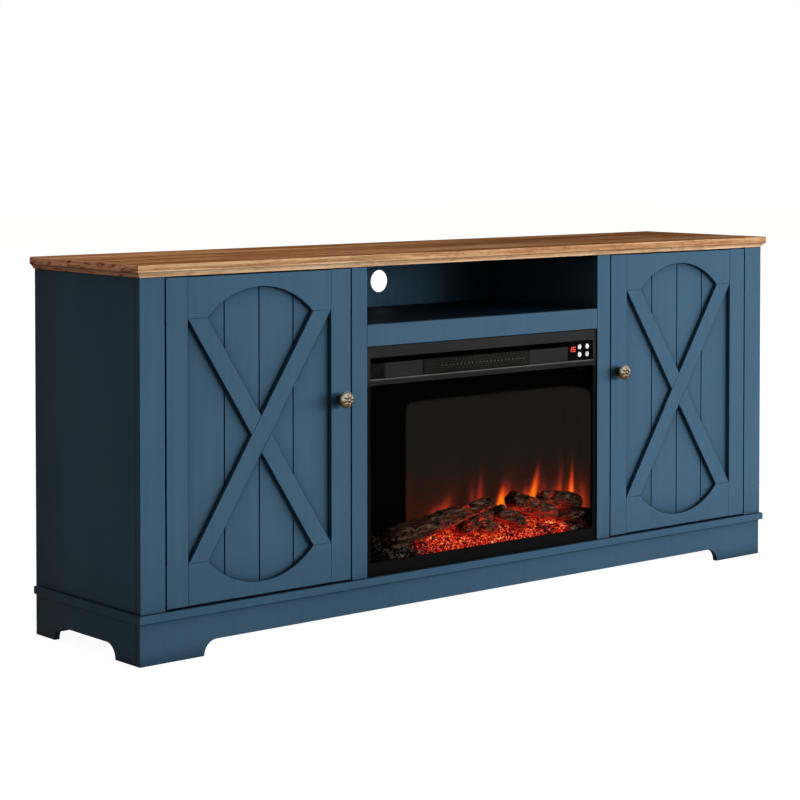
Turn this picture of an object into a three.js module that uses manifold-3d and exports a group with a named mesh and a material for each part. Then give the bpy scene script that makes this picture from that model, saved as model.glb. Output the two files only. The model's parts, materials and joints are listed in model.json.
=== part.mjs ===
// A television stand with an electric fireplace insert. Lengths are in millimetres. X runs along the
// width, Y from the front to the back and Z up. Z is zero at the floor, X at the middle of the width,
// and Y at the middle of the depth, door knobs included.
import Module from 'manifold-3d';
import * as THREE from 'three';
import { mergeVertices } from 'three/addons/utils/BufferGeometryUtils.js';

const wasm = await Module();
wasm.setup();

// Gaps
const jointGap = 0.3; // between fixed pieces that meet
const cutOverrun = 2; // how far a cutting shape runs past the piece it cuts

// Cabinet body
const bodyWidth = 1760;
const bodyDepth = 374;
const bodyTop = 732; // underside of the top board
const boardThickness = 15;
const faceFrameThickness = 15;
const outerStileWidth = 56.5;
const innerStileWidth = 40;
const middleOpeningWidth = 661; // between the dividers, for the fireplace insert and the shelf bay
const backPanelThickness = 3;
const backPanelRecess = 12.5;

// Top board
const topThickness = 24;
const topEdgeBand = 14.5; // upright part of its edge, above the bevel
const topOverhang = 9; // at the front and the sides
const topRearOverhang = 3.5;

// Base
const baseHeight = 82.3; // floor to the underside of the base board
const baseBoardThickness = 15.7;
const baseBoardOverhang = 5.6;
const apronThickness = 12;
const apronSetback = 3; // front apron behind the face frame
const apronClearance = 29.5; // floor to the underside of the aprons, and the radius of the foot curves
const frontFootWidth = 148;
const sideFrontFootWidth = 87;
const sideRearFootWidth = 69;

// Shelves
const shelfBayHeight = 119; // centre shelf to the top board
const shelfRailHeight = 44;
const cabinetShelfHeight = 415; // floor to its top
const cabinetShelfSetback = 34; // behind the doors and their hinges
const cableHoleRadius = 25;
const cableHoleDrop = 62; // its centre below the top board

// Doors
const doorSideGap = 3;
const doorBottomGap = 4;
const doorTopGap = 2.5;
const doorThickness = 18;
const doorStileWidth = 50;
const plankThickness = 10;
const plankPitch = 83.5;
const plankGrooveWidth = 3;
const plankGrooveDepth = 1.8;
const railEndHeight = 80; // arched rail at its ends
const railCrownHeight = 26; // arched rail at the middle of its arch
const braceFootWidth = 46.5; // brace along the rail end it stands on

// Knobs
const knobHeight = 468; // floor to the knob's axis
const knobProjection = 28;
const knobRadius = 17;
const knobNeckRadius = 6.5;
const knobBaseRadius = 10;
const knobBaseThickness = 2;
const knobStudRadius = 2;
const knobStudLength = 13;

// Concealed hinges
const hingeInset = 100; // hinge centre from the door's top or bottom edge
const cupRadius = 17.5;
const cupDepth = 11.5;
const cupWall = 1.5;
const cupEdgeDistance = 4.5; // cup from the door's edge
const cupFlangeLength = 52;
const cupFlangeWidth = 20;
const cupFlangeThickness = 1.2;
const hingePlateWidth = 24;
const hingePlateLength = 44;
const hingePlateThickness = 2;
const hingeArmWidth = 14;
const hingeArmThickness = 8;
const hingeArmReach = 20; // arm beyond the door's edge, over the cup
const hingeArmStandoff = 3.5; // arm behind the door

// Fireplace insert
const insertClearance = 2; // trim frame to the opening, at the sides
const insertTopClearance = 1.8; // trim frame to the shelf rail
const insertSetback = 3; // trim frame behind the face frame
const trimDepth = 6;
const trimSideWidth = 9;
const trimTopBand = 22.5;
const outletWindowHeight = 43.5;
const ledgeHeight = 12.7;
const trimBottomBand = 28;
const glassThickness = 4;
const glassLap = 5; // glass and outlet plates behind the edge of the trim frame
const housingDepth = 194;
const housingWall = 2;
const housingLap = 2.5; // trim frame beyond the housing
const plateThickness = 2; // outlet panel
const partitionClearance = 0.5;

// Air outlet and its blower
const grilleWidth = 298;
const grilleOffset = -19; // middle of the grille from the middle of the insert
const grilleRows = 4;
const grilleColumns = 28;
const grilleHoleRadius = 3;
const grilleHeight = 34;
const blowerLength = 260;
const blowerRadius = 22;
const blowerBladeCount = 14;
const blowerBladeDepth = 7;
const blowerBladeThickness = 1.2;
const blowerDiscThickness = 2;
const blowerSetback = 62; // its axis behind the glass
const shaftRadius = 3;
const bearingClearance = 0.4;
const bracketWidth = 34;
const bracketThickness = 2;
const ventCount = 14;
const ventWidth = 6;
const ventHeight = 34;
const ventPitch = 18;

// Control panel
const controlWidth = 74;
const controlThickness = 3;
const displayWidth = 22;
const displayHeight = 14;
const displayDepth = 1;
const displayInset = 14; // middle of the display from the panel's left edge
const displayRise = 4; // middle of the display above the middle of the outlet window
const buttonRadius = 5.6;
const buttonClearance = 0.4;
const buttonPitchX = 24;
const buttonPitchZ = 17;
const buttonInset = 27; // middle of the button group from the panel's right edge
const buttonRise = -1; // middle of the button group above the middle of the outlet window
const buttonProjection = 1.5;
const buttonFlange = 1.4; // collar beyond the cap's radius
const buttonFlangeThickness = 1.2;

// Fire
const screenThickness = 3;
const fireDepth = 80; // glass to flame screen
const fireHeight = 100; // of the log pile, above the window's lower edge
const fireMargin = 4; // between the fire's pieces and the housing
const emberFrontHeight = 33;
const emberBackHeight = 62;
const emberBumpHeight = 6;
const emberBumpLength = 36;
const logClearance = 0.4;
const logRoughnessShare = 0.1; // of each log's radius
const logTipShare = 0.9; // radius at a log's end, as a share of the radius at its start
const logLargeRadius = 26;
const logMiddleRadius = 20;
const logSmallRadius = 15;

// Flicker spindle
const spindleSetback = 26; // its axis behind the flame screen
const spindleRise = 92; // its axis above the housing floor
const spindleEndInset = 24; // from the housing's side wall to the end of the spindle
const spindleFlagPitch = 44;
const spindleFlagLength = 36;
const spindleFlagReach = 17;
const spindleFlagThickness = 0.8;
const spindleTwistShare = 0.11; // turn from one flag to the next, as a share of a full turn
const bossRadius = 8;

// Cord gland
const glandRadius = 7;
const glandBoreRadius = 4;
const glandFlangeRadius = 11;
const glandFlangeThickness = 3;
const glandLength = 14;
const glandInset = 70; // from the housing's right side
const glandRise = 40; // above the housing's floor

// Places and lengths that follow
const baseTop = baseHeight + baseBoardThickness;
const frontY = knobProjection - (knobProjection + bodyDepth + topRearOverhang) / 2;
const rearY = frontY + bodyDepth;
const frameBackY = frontY + faceFrameThickness;
const backPanelY = rearY - backPanelRecess - backPanelThickness;
const halfBody = bodyWidth / 2;
const openingHalf = middleOpeningWidth / 2;
const shelfTop = bodyTop - shelfBayHeight;
const shelfRailBottom = shelfTop - shelfRailHeight;
const doorOuterX = halfBody - outerStileWidth - doorSideGap;
const doorWidth = doorOuterX - openingHalf - innerStileWidth - doorSideGap;
const doorCentreX = doorOuterX - doorWidth / 2;
const doorBottom = baseTop + doorBottomGap;
const doorTop = bodyTop - doorTopGap;
const doorBackY = frontY + doorThickness;
const overlayBackY = doorBackY - plankThickness;
const trimHalf = openingHalf - insertClearance;
const trimBottom = baseTop + jointGap;
const trimTop = shelfRailBottom - insertTopClearance;
const trimBackY = frontY + insertSetback + trimDepth;
const windowHalf = trimHalf - trimSideWidth;
const outletTop = trimTop - trimTopBand;
const outletBottom = outletTop - outletWindowHeight;
const outletMiddle = (outletTop + outletBottom) / 2;
const glassTop = outletBottom - ledgeHeight;
const glassBottom = trimBottom + trimBottomBand;
const insertY = trimBackY + jointGap; // front of the glass, the plates and the housing
const housingHalf = trimHalf - housingLap;
const housingBackY = insertY + housingDepth;
const housingTop = trimTop - housingLap;
const housingFloor = trimBottom + housingWall;
const innerHalf = housingHalf - housingWall;
const screenY = insertY + glassThickness + fireDepth;
const partitionBottom = glassTop + glassLap + partitionClearance;
const partitionTop = partitionBottom + housingWall;
const plateBottom = partitionTop + partitionClearance;
const plateTop = outletTop + glassLap;
const blowerZ = (partitionTop + housingTop - housingWall) / 2;
const blowerY = insertY + blowerSetback;
const bracketX = blowerLength / 2 + bracketThickness + bearingClearance;
const spindleY = screenY + screenThickness + spindleSetback;
const spindleZ = housingFloor + spindleRise;
const spindleLength = 2 * (innerHalf - spindleEndInset);
const sides = { left: -1, right: 1 };

// Finishes
function finish(color, roughness, metalness = 0) {
  return new THREE.MeshStandardMaterial({ color, roughness, metalness });
}

const paint = finish(0x425c73, 0.5);
const innerPaint = finish(0x2a3a4a, 0.6);
const topWood = finish(0x9a6a42, 0.55);
const bronze = finish(0x6b5638, 0.35, 0.9);
const steel = finish(0xb4b6b8, 0.35, 0.9);
const blackMetal = finish(0x262626, 0.5, 0.4);
const glass = finish(0x0c0c0d, 0.05);
const blackPlastic = finish(0x101011, 0.25);
const whitePlastic = finish(0xe8e8ea, 0.4);
const bark = finish(0x4a3a30, 0.9);
const ember = finish(0xd0421a, 0.8);
const flame = finish(0x2b211c, 0.5);
const aluminium = finish(0xc4c6c8, 0.3, 0.9);

const model = new THREE.Group();

function addPiece(parent, name, geometry, material) {
  const mesh = new THREE.Mesh(geometry, material);
  mesh.name = name;
  parent.add(mesh);
}

// A closed geometry as a solid that can be joined and cut.
function toSolid(geometry) {
  const bare = geometry.clone();
  bare.deleteAttribute('normal');
  bare.deleteAttribute('uv');
  const merged = mergeVertices(bare);
  const corners = merged.index.array;
  const triVerts = [];
  for (let i = 0; i < corners.length; i += 3) {
    const [a, b, c] = corners.slice(i, i + 3);
    if (a !== b && b !== c && c !== a) triVerts.push(a, b, c);
  }
  return new wasm.Manifold(new wasm.Mesh({
    numProp: 3,
    vertProperties: new Float32Array(merged.attributes.position.array),
    triVerts: new Uint32Array(triVerts),
  }));
}

function toGeometry(solid) {
  const mesh = solid.getMesh();
  const geometry = new THREE.BufferGeometry();
  geometry.setAttribute('position', new THREE.BufferAttribute(mesh.vertProperties, 3));
  geometry.setIndex(new THREE.BufferAttribute(mesh.triVerts, 1));
  geometry.computeVertexNormals();
  return geometry;
}

function join(first, ...others) {
  return toGeometry(others.reduce((sum, other) => sum.add(toSolid(other)), toSolid(first)));
}

function cut(first, ...tools) {
  return toGeometry(tools.reduce((rest, tool) => rest.subtract(toSolid(tool)), toSolid(first)));
}

// A block between the low and high value of each axis.
function block([x0, x1], [y0, y1], [z0, z1]) {
  const geometry = new THREE.BoxGeometry(x1 - x0, y1 - y0, z1 - z0);
  return geometry.translate((x0 + x1) / 2, (y0 + y1) / 2, (z0 + z1) / 2);
}

// An outline drawn in X and Z, running from y0 to y1.
function frontPrism(shape, [y0, y1], curveSegments = 5) {
  const geometry = new THREE.ExtrudeGeometry(shape, { depth: y1 - y0, bevelEnabled: false, curveSegments });
  return geometry.rotateX(Math.PI / 2).translate(0, y1, 0);
}

// An outline drawn in X and Y, running from z0 to z1.
function upright(shape, [z0, z1]) {
  const geometry = new THREE.ExtrudeGeometry(shape, { depth: z1 - z0, bevelEnabled: false });
  return geometry.translate(0, 0, z0);
}

function outline(points) {
  return new THREE.Shape(points.map(([x, y]) => new THREE.Vector2(x, y)));
}

// A solid of revolution about the Y axis, from pairs of radius and distance along Y.
function turnedAboutY(profile, segments) {
  return new THREE.LatheGeometry(profile.map(([r, y]) => new THREE.Vector2(r, y)), segments);
}

function rodAlongX(radius, [x0, x1], segments = 16) {
  const geometry = new THREE.CylinderGeometry(radius, radius, x1 - x0, segments);
  return geometry.rotateZ(Math.PI / 2).translate((x0 + x1) / 2, 0, 0);
}

// Both ends of a span mirrored to one side of the stand.
function mirrored(side, [a, b]) {
  return side < 0 ? [-b, -a] : [a, b];
}

// The top board: an upright edge band above a bevel that runs in to the body at the front and sides.
function topBoardGeometry() {
  const bandBottom = bodyTop + topThickness - topEdgeBand;
  const backY = rearY + topRearOverhang;
  const band = block(
    [-halfBody - topOverhang, halfBody + topOverhang],
    [frontY - topOverhang, backY],
    [bandBottom, bodyTop + topThickness],
  );
  const bevel = block([-halfBody, halfBody], [frontY, backY], [bodyTop, bandBottom]);
  const corners = bevel.attributes.position;
  for (let i = 0; i < corners.count; i += 1) {
    if (corners.getZ(i) < (bodyTop + bandBottom) / 2) continue;
    corners.setX(i, corners.getX(i) + Math.sign(corners.getX(i)) * topOverhang);
    if (corners.getY(i) < (frontY + backY) / 2) corners.setY(i, corners.getY(i) - topOverhang);
  }
  return join(band, bevel);
}

// An apron seen from outside: a rail from start to end with a foot at each end and a curve beside each.
function apronOutline(start, end, startFoot, endFoot) {
  const shape = new THREE.Shape();
  shape.moveTo(start, 0);
  shape.lineTo(startFoot, 0);
  shape.absarc(startFoot + apronClearance, 0, apronClearance, Math.PI, Math.PI / 2, true);
  shape.absarc(endFoot - apronClearance, 0, apronClearance, Math.PI / 2, 0, true);
  shape.lineTo(end, 0);
  shape.lineTo(end, baseHeight - jointGap);
  shape.lineTo(start, baseHeight - jointGap);
  shape.closePath();
  return shape;
}

function addAprons() {
  const frontBack = frontY + apronSetback + apronThickness;
  const footX = halfBody - frontFootWidth;
  const frontShape = apronOutline(-halfBody, halfBody, -footX, footX);
  addPiece(model, 'front_apron', frontPrism(frontShape, [frontY + apronSetback, frontBack]), paint);
  const rearHalf = halfBody - apronThickness - jointGap;
  const rearShape = apronOutline(-rearHalf, rearHalf, -footX, footX);
  addPiece(model, 'rear_apron', frontPrism(rearShape, [rearY - apronThickness, rearY]), paint);
  const sideFootEdges = [frontY + sideFrontFootWidth, rearY - sideRearFootWidth];
  const sideShape = apronOutline(frontBack + jointGap, rearY, ...sideFootEdges);
  for (const [name, side] of Object.entries(sides)) {
    const [x0, x1] = mirrored(side, [halfBody - apronThickness, halfBody]);
    const geometry = frontPrism(sideShape, [-x1, -x0]).rotateZ(Math.PI / 2);
    addPiece(model, `${name}_apron`, geometry, paint);
  }
}

function addCarcass() {
  const panelZ = [baseTop + jointGap, bodyTop - jointGap];
  const frameY = [frontY, frameBackY];
  addPiece(model, 'top_board', topBoardGeometry(), topWood);
  addPiece(model, 'base_board', block(
    [-halfBody - baseBoardOverhang, halfBody + baseBoardOverhang],
    [frontY - baseBoardOverhang, rearY],
    [baseHeight, baseTop],
  ), paint);
  const sidePanelInner = halfBody - boardThickness;
  const dividerOuter = openingHalf + boardThickness;
  const dividerMiddle = openingHalf + boardThickness / 2;
  const behindFrame = [frameBackY + jointGap, backPanelY - jointGap];
  for (const [name, side] of Object.entries(sides)) {
    const addBoard = (board, [x0, x1], spanY, spanZ, material) => {
      addPiece(model, `${name}_${board}`, block(mirrored(side, [x0, x1]), spanY, spanZ), material);
    };
    addBoard('side_panel', [sidePanelInner, halfBody], [behindFrame[0], rearY], panelZ, paint);
    addBoard('outer_stile', [halfBody - outerStileWidth, halfBody], frameY, panelZ, paint);
    addBoard('inner_stile', [openingHalf, openingHalf + innerStileWidth], frameY, panelZ, paint);
    addBoard('divider', [openingHalf, dividerOuter], behindFrame, panelZ, innerPaint);
    addBoard(
      'back_panel',
      [dividerMiddle + jointGap, sidePanelInner - jointGap],
      [backPanelY, backPanelY + backPanelThickness],
      panelZ,
      innerPaint,
    );
    addBoard(
      'cabinet_shelf',
      [dividerOuter + jointGap, sidePanelInner - jointGap],
      [frontY + cabinetShelfSetback, backPanelY - jointGap],
      [cabinetShelfHeight - boardThickness, cabinetShelfHeight],
      innerPaint,
    );
  }
}

// The open shelf bay above the fireplace: shelf, front rail and a back panel with a round cable hole.
function addShelfBay() {
  const bayX = [jointGap - openingHalf, openingHalf - jointGap];
  addPiece(model, 'centre_shelf', block(
    bayX, [frameBackY + jointGap, backPanelY - jointGap], [shelfTop - boardThickness, shelfTop],
  ), innerPaint);
  addPiece(model, 'shelf_front_rail', block(bayX, [frontY, frameBackY], [shelfRailBottom, shelfTop]), paint);
  const panelHalf = openingHalf + boardThickness / 2;
  const panel = outline([
    [-panelHalf, shelfTop - boardThickness],
    [panelHalf, shelfTop - boardThickness],
    [panelHalf, bodyTop - jointGap],
    [-panelHalf, bodyTop - jointGap],
  ]);
  const hole = new THREE.Path();
  hole.absarc(0, bodyTop - cableHoleDrop, cableHoleRadius, 0, 2 * Math.PI);
  panel.holes.push(hole);
  const panelSpanY = [backPanelY, backPanelY + backPanelThickness];
  addPiece(model, 'centre_back_panel', frontPrism(panel, panelSpanY, 16), innerPaint);
}

// The plank panel from above: a flat back and V grooves at equal pitch in its front. Half a plank or more
// stays beyond the last groove on each side.
function plankPanelGeometry(halfWidth) {
  const points = [[halfWidth, doorBackY], [-halfWidth, doorBackY], [-halfWidth, overlayBackY]];
  const lastGroove = Math.floor((halfWidth - plankPitch / 2) / plankPitch);
  for (let groove = -lastGroove; groove <= lastGroove; groove += 1) {
    const grooveX = groove * plankPitch;
    points.push([grooveX - plankGrooveWidth / 2, overlayBackY]);
    points.push([grooveX, overlayBackY + plankGrooveDepth]);
    points.push([grooveX + plankGrooveWidth / 2, overlayBackY]);
  }
  points.push([halfWidth, overlayBackY]);
  return upright(outline(points), [doorBottom, doorTop]);
}

// An arched rail across the door: flat ends for the braces, and an arc rising between them.
function archedRailGeometry(halfWidth, atTop) {
  const halfChord = doorWidth / 2 - doorStileWidth - braceFootWidth;
  const rise = railEndHeight - railCrownHeight;
  const radius = (halfChord ** 2 + rise ** 2) / (2 * rise);
  const halfAngle = 2 * Math.atan(rise / halfChord);
  const shape = new THREE.Shape();
  shape.moveTo(halfWidth, 0);
  shape.lineTo(halfWidth, railEndHeight);
  shape.lineTo(halfChord, railEndHeight);
  shape.absarc(0, railCrownHeight + radius, radius, halfAngle - Math.PI / 2, -halfAngle - Math.PI / 2, true);
  shape.lineTo(-halfWidth, railEndHeight);
  shape.lineTo(-halfWidth, 0);
  shape.closePath();
  const geometry = frontPrism(shape, [frontY, overlayBackY - jointGap], 12);
  if (!atTop) return geometry.translate(0, 0, doorBottom);
  const middleY = (frontY + overlayBackY - jointGap) / 2;
  return geometry.translate(0, -middleY, 0).rotateY(Math.PI).translate(0, middleY, doorTop);
}

// A slanted brace that stands on the flat rail ends; lean is 1 for rising to the right and -1 to the left.
function braceGeometry(lean, halfWidth, [y0, y1], widen) {
  const inner = halfWidth - braceFootWidth + jointGap;
  const low = doorBottom + railEndHeight + jointGap;
  const high = doorTop - railEndHeight - jointGap;
  const points = [
    [-halfWidth - widen, low], [-inner + widen, low], [halfWidth + widen, high], [inner - widen, high],
  ];
  const geometry = frontPrism(outline(points), [y0, y1]);
  if (lean > 0) return geometry;
  const middleY = (y0 + y1) / 2;
  return geometry.translate(0, -middleY, 0).rotateZ(Math.PI).translate(0, middleY, 0);
}

// The two braces meet in a half lap: the rising one keeps its front half and the falling one its back.
function bracePair(halfWidth) {
  const back = overlayBackY - jointGap;
  const middle = (frontY + back) / 2;
  const full = [frontY, back];
  const rising = cut(
    braceGeometry(1, halfWidth, full, 0),
    braceGeometry(-1, halfWidth, [middle, back + cutOverrun], jointGap),
  );
  const falling = cut(
    braceGeometry(-1, halfWidth, full, 0),
    braceGeometry(1, halfWidth, [frontY - cutOverrun, middle + jointGap], jointGap),
  );
  return { rising, falling };
}

// The knob's domed head, from its crown back to its neck, as shares of its radius and its projection.
const knobHeadShares = [[0, 1], [0.38, 0.99], [0.7, 0.94], [0.93, 0.84], [1, 0.7], [0.86, 0.55]];

// The knob, from the crown to the tip of the stud that holds it in the door.
function knobGeometry() {
  const head = knobHeadShares.map(([r, y]) => [r * knobRadius, -y * knobProjection]);
  return turnedAboutY([
    ...head,
    [knobNeckRadius, -2 * knobBaseThickness - knobNeckRadius],
    [knobNeckRadius, -2 * knobBaseThickness],
    [knobBaseRadius, -knobBaseThickness],
    [knobBaseRadius, -jointGap],
    [knobStudRadius, -jointGap],
    [knobStudRadius, knobStudLength],
    [0, knobStudLength],
  ], 24);
}

// One hinge cup: a cup let into the back of the door, with a flange on the door's back face.
function hingeCupGeometry() {
  const bottom = -cupDepth;
  const cup = turnedAboutY([
    [0, bottom],
    [cupRadius, bottom],
    [cupRadius, jointGap],
    [cupRadius - cupWall, jointGap],
    [cupRadius - cupWall, bottom + cupWall],
    [0, bottom + cupWall],
  ], 24);
  const flangeHole = turnedAboutY([
    [0, -cutOverrun],
    [cupRadius - cupWall / 2, -cutOverrun],
    [cupRadius - cupWall / 2, cupFlangeThickness + cutOverrun],
    [0, cupFlangeThickness + cutOverrun],
  ], 24);
  const rim = turnedAboutY([
    [cupRadius - cupWall, 0],
    [cupRadius + cupWall, 0],
    [cupRadius + cupWall, cupFlangeThickness],
    [cupRadius - cupWall, cupFlangeThickness],
    [cupRadius - cupWall, 0],
  ], 24).translate(0, jointGap, 0);
  const halfLength = cupFlangeLength / 2;
  const plate = block(
    [-cupFlangeWidth / 2, cupFlangeWidth / 2],
    [jointGap, jointGap + cupFlangeThickness],
    [-halfLength, halfLength],
  );
  return join(cup, rim, cut(plate, flangeHole));
}

// The cabinet's half of a hinge: a plate on the back of the outer stile and an arm that reaches to the cup.
function hingeArmGeometry() {
  const plateY = frameBackY + jointGap;
  const armY = doorBackY + hingeArmStandoff;
  const plateX = [doorSideGap + jointGap, doorSideGap + jointGap + hingePlateWidth];
  const halfArm = hingeArmWidth / 2;
  const halfPlate = hingePlateLength / 2;
  return join(
    block(plateX, [plateY, plateY + hingePlateThickness], [-halfPlate, halfPlate]),
    block(plateX, [plateY, armY + hingeArmThickness], [-halfArm, halfArm]),
    block([-hingeArmReach, plateX[1]], [armY, armY + hingeArmThickness], [-halfArm, halfArm]),
  );
}

function addDoor(name, side) {
  const door = new THREE.Group();
  door.position.x = side * doorCentreX;
  model.add(door);
  const halfDoor = doorWidth / 2;
  const stileInner = halfDoor - doorStileWidth;
  const panelHalf = stileInner - jointGap;
  const doorY = [frontY, doorBackY];
  const doorZ = [doorBottom, doorTop];
  const cupX = side * (halfDoor - cupEdgeDistance - cupRadius);
  const knobX = -side * (halfDoor - doorStileWidth / 2);
  const hingeHeights = { lower: doorBottom + hingeInset, upper: doorTop - hingeInset };

  const pocket = turnedAboutY([
    [0, -cupDepth - jointGap],
    [cupRadius + jointGap, -cupDepth - jointGap],
    [cupRadius + jointGap, cutOverrun],
    [0, cutOverrun],
  ], 24);
  const pockets = Object.values(hingeHeights).map((z) => pocket.clone().translate(cupX, doorBackY, z));
  const hingeStile = block(mirrored(side, [stileInner, halfDoor]), doorY, doorZ);
  addPiece(door, `${name}_door_hinge_stile`, cut(hingeStile, ...pockets), paint);

  const studHole = turnedAboutY([
    [0, -cutOverrun],
    [knobStudRadius + jointGap, -cutOverrun],
    [knobStudRadius + jointGap, knobStudLength + jointGap],
    [0, knobStudLength + jointGap],
  ], 12).translate(knobX, frontY, knobHeight);
  const latchStile = block(mirrored(-side, [stileInner, halfDoor]), doorY, doorZ);
  addPiece(door, `${name}_door_latch_stile`, cut(latchStile, studHole), paint);

  const braces = bracePair(panelHalf);
  addPiece(door, `${name}_door_planks`, plankPanelGeometry(panelHalf), paint);
  addPiece(door, `${name}_door_top_rail`, archedRailGeometry(panelHalf, true), paint);
  addPiece(door, `${name}_door_bottom_rail`, archedRailGeometry(panelHalf, false), paint);
  addPiece(door, `${name}_door_rising_brace`, braces.rising, paint);
  addPiece(door, `${name}_door_falling_brace`, braces.falling, paint);
  addPiece(door, `${name}_knob`, knobGeometry().translate(knobX, frontY, knobHeight), bronze);

  for (const [level, z] of Object.entries(hingeHeights)) {
    const cupName = `${name}_${level}_hinge_cup`;
    addPiece(door, cupName, hingeCupGeometry().translate(cupX, doorBackY, z), steel);
    const arm = hingeArmGeometry().rotateY(side < 0 ? Math.PI : 0);
    addPiece(model, `${name}_${level}_hinge_arm`, arm.translate(side * doorOuterX, 0, z), steel);
  }
}

// The sheet-metal housing, open at the front: firebox below, blower compartment above, and shaft supports.
function housingGeometry() {
  const innerZ = [housingFloor, housingTop - housingWall];
  const innerX = [-innerHalf, innerHalf];
  const shell = cut(
    block([-housingHalf, housingHalf], [insertY, housingBackY], [trimBottom, housingTop]),
    block(innerX, [insertY - cutOverrun, housingBackY - housingWall], innerZ),
  );
  const lap = housingWall / 2;
  const partition = block(
    [-innerHalf - lap, innerHalf + lap], [insertY, housingBackY - lap], [partitionBottom, partitionTop],
  );
  const supports = [];
  const bores = [];
  const spindleEnd = spindleLength / 2;
  for (const side of Object.values(sides)) {
    supports.push(block(
      mirrored(side, [bracketX, bracketX + bracketThickness]),
      [blowerY - bracketWidth / 2, blowerY + bracketWidth / 2],
      [partitionTop - lap, housingTop - lap],
    ));
    const bossStart = spindleEnd - bossRadius;
    const boss = rodAlongX(bossRadius, mirrored(side, [bossStart, innerHalf + lap]));
    supports.push(boss.translate(0, spindleY, spindleZ));
    bores.push(rodAlongX(
      shaftRadius + bearingClearance,
      mirrored(side, [bracketX - cutOverrun, bracketX + bracketThickness + cutOverrun]),
    ).translate(0, blowerY, blowerZ));
    bores.push(rodAlongX(
      shaftRadius + bearingClearance, mirrored(side, [bossStart - cutOverrun, spindleEnd + cutOverrun]),
    ).translate(0, spindleY, spindleZ));
  }
  const backY = [housingBackY - housingWall - cutOverrun, housingBackY + cutOverrun];
  const ventZ = [blowerZ - ventHeight / 2, blowerZ + ventHeight / 2];
  for (let i = 0; i < ventCount; i += 1) {
    const x = (i - (ventCount - 1) / 2) * ventPitch;
    bores.push(block([x - ventWidth / 2, x + ventWidth / 2], backY, ventZ));
  }
  bores.push(turnedAboutY([
    [0, backY[0]],
    [glandRadius + jointGap, backY[0]],
    [glandRadius + jointGap, backY[1]],
    [0, backY[1]],
  ], 16).translate(housingHalf - glandInset, 0, housingFloor + glandRise));
  return cut(join(shell, partition, ...supports), ...bores);
}

// The front frame, with a window for the air outlet above the ledge and one for the glass below it.
function trimFrameGeometry() {
  const rectangle = ([x0, x1], [z0, z1]) => [[x0, z0], [x1, z0], [x1, z1], [x0, z1]];
  const shape = outline(rectangle([-trimHalf, trimHalf], [trimBottom, trimTop]));
  for (const heights of [[glassBottom, glassTop], [outletBottom, outletTop]]) {
    shape.holes.push(outline(rectangle([-windowHalf, windowHalf], heights)));
  }
  return frontPrism(shape, [frontY + insertSetback, trimBackY]);
}

// The outlet panel: a flat plate with rows of six-sided air holes, each other row set over by half a pitch.
function outletPanelGeometry(rightEdge) {
  const leftEdge = -windowHalf - housingLap;
  const shape = outline([
    [leftEdge, plateBottom], [rightEdge, plateBottom], [rightEdge, plateTop], [leftEdge, plateTop],
  ]);
  const pitchX = grilleWidth / (grilleColumns + 1 / 2);
  const pitchZ = grilleHeight / grilleRows;
  for (let row = 0; row < grilleRows; row += 1) {
    for (let column = 0; column < grilleColumns; column += 1) {
      const x = grilleOffset + (column - (grilleColumns - 1) / 2 + (row % 2 ? 1 : -1) / 4) * pitchX;
      const z = outletMiddle + (row - (grilleRows - 1) / 2) * pitchZ;
      const hole = new THREE.Path();
      hole.absarc(x, z, grilleHoleRadius, 0, 2 * Math.PI);
      shape.holes.push(hole);
    }
  }
  return frontPrism(shape, [insertY, insertY + plateThickness], 3);
}

function addControls() {
  const rightEdge = windowHalf + housingLap;
  const leftEdge = rightEdge - controlWidth;
  const centreX = rightEdge - buttonInset;
  const centreZ = outletMiddle + buttonRise;
  const places = { upper_left: [-1, 1], upper_right: [1, 1], lower_left: [-1, -1], lower_right: [1, -1] };
  const panelY = [insertY, insertY + controlThickness];
  const shape = outline([
    [leftEdge, plateBottom], [rightEdge, plateBottom], [rightEdge, plateTop], [leftEdge, plateTop],
  ]);
  for (const [name, [right, up]] of Object.entries(places)) {
    const x = centreX + right * buttonPitchX / 2;
    const z = centreZ + up * buttonPitchZ / 2;
    const hole = new THREE.Path();
    hole.absarc(x, z, buttonRadius + buttonClearance, 0, 2 * Math.PI);
    shape.holes.push(hole);
    const collarY = controlThickness + jointGap;
    const button = turnedAboutY([
      [0, -buttonProjection],
      [buttonRadius, -buttonProjection],
      [buttonRadius, collarY],
      [buttonRadius + buttonFlange, collarY],
      [buttonRadius + buttonFlange, collarY + buttonFlangeThickness],
      [0, collarY + buttonFlangeThickness],
    ], 20);
    addPiece(model, `${name}_button`, button.translate(x, insertY, z), whitePlastic);
  }
  const displayX = leftEdge + displayInset;
  const displayZ = outletMiddle + displayRise;
  const displayPocket = block(
    [displayX - displayWidth / 2, displayX + displayWidth / 2],
    [insertY - cutOverrun, insertY + displayDepth],
    [displayZ - displayHeight / 2, displayZ + displayHeight / 2],
  );
  addPiece(model, 'control_panel', cut(frontPrism(shape, panelY, 10), displayPocket), blackPlastic);
  addPiece(model, 'outlet_panel', outletPanelGeometry(leftEdge - jointGap), blackMetal);
}

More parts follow.
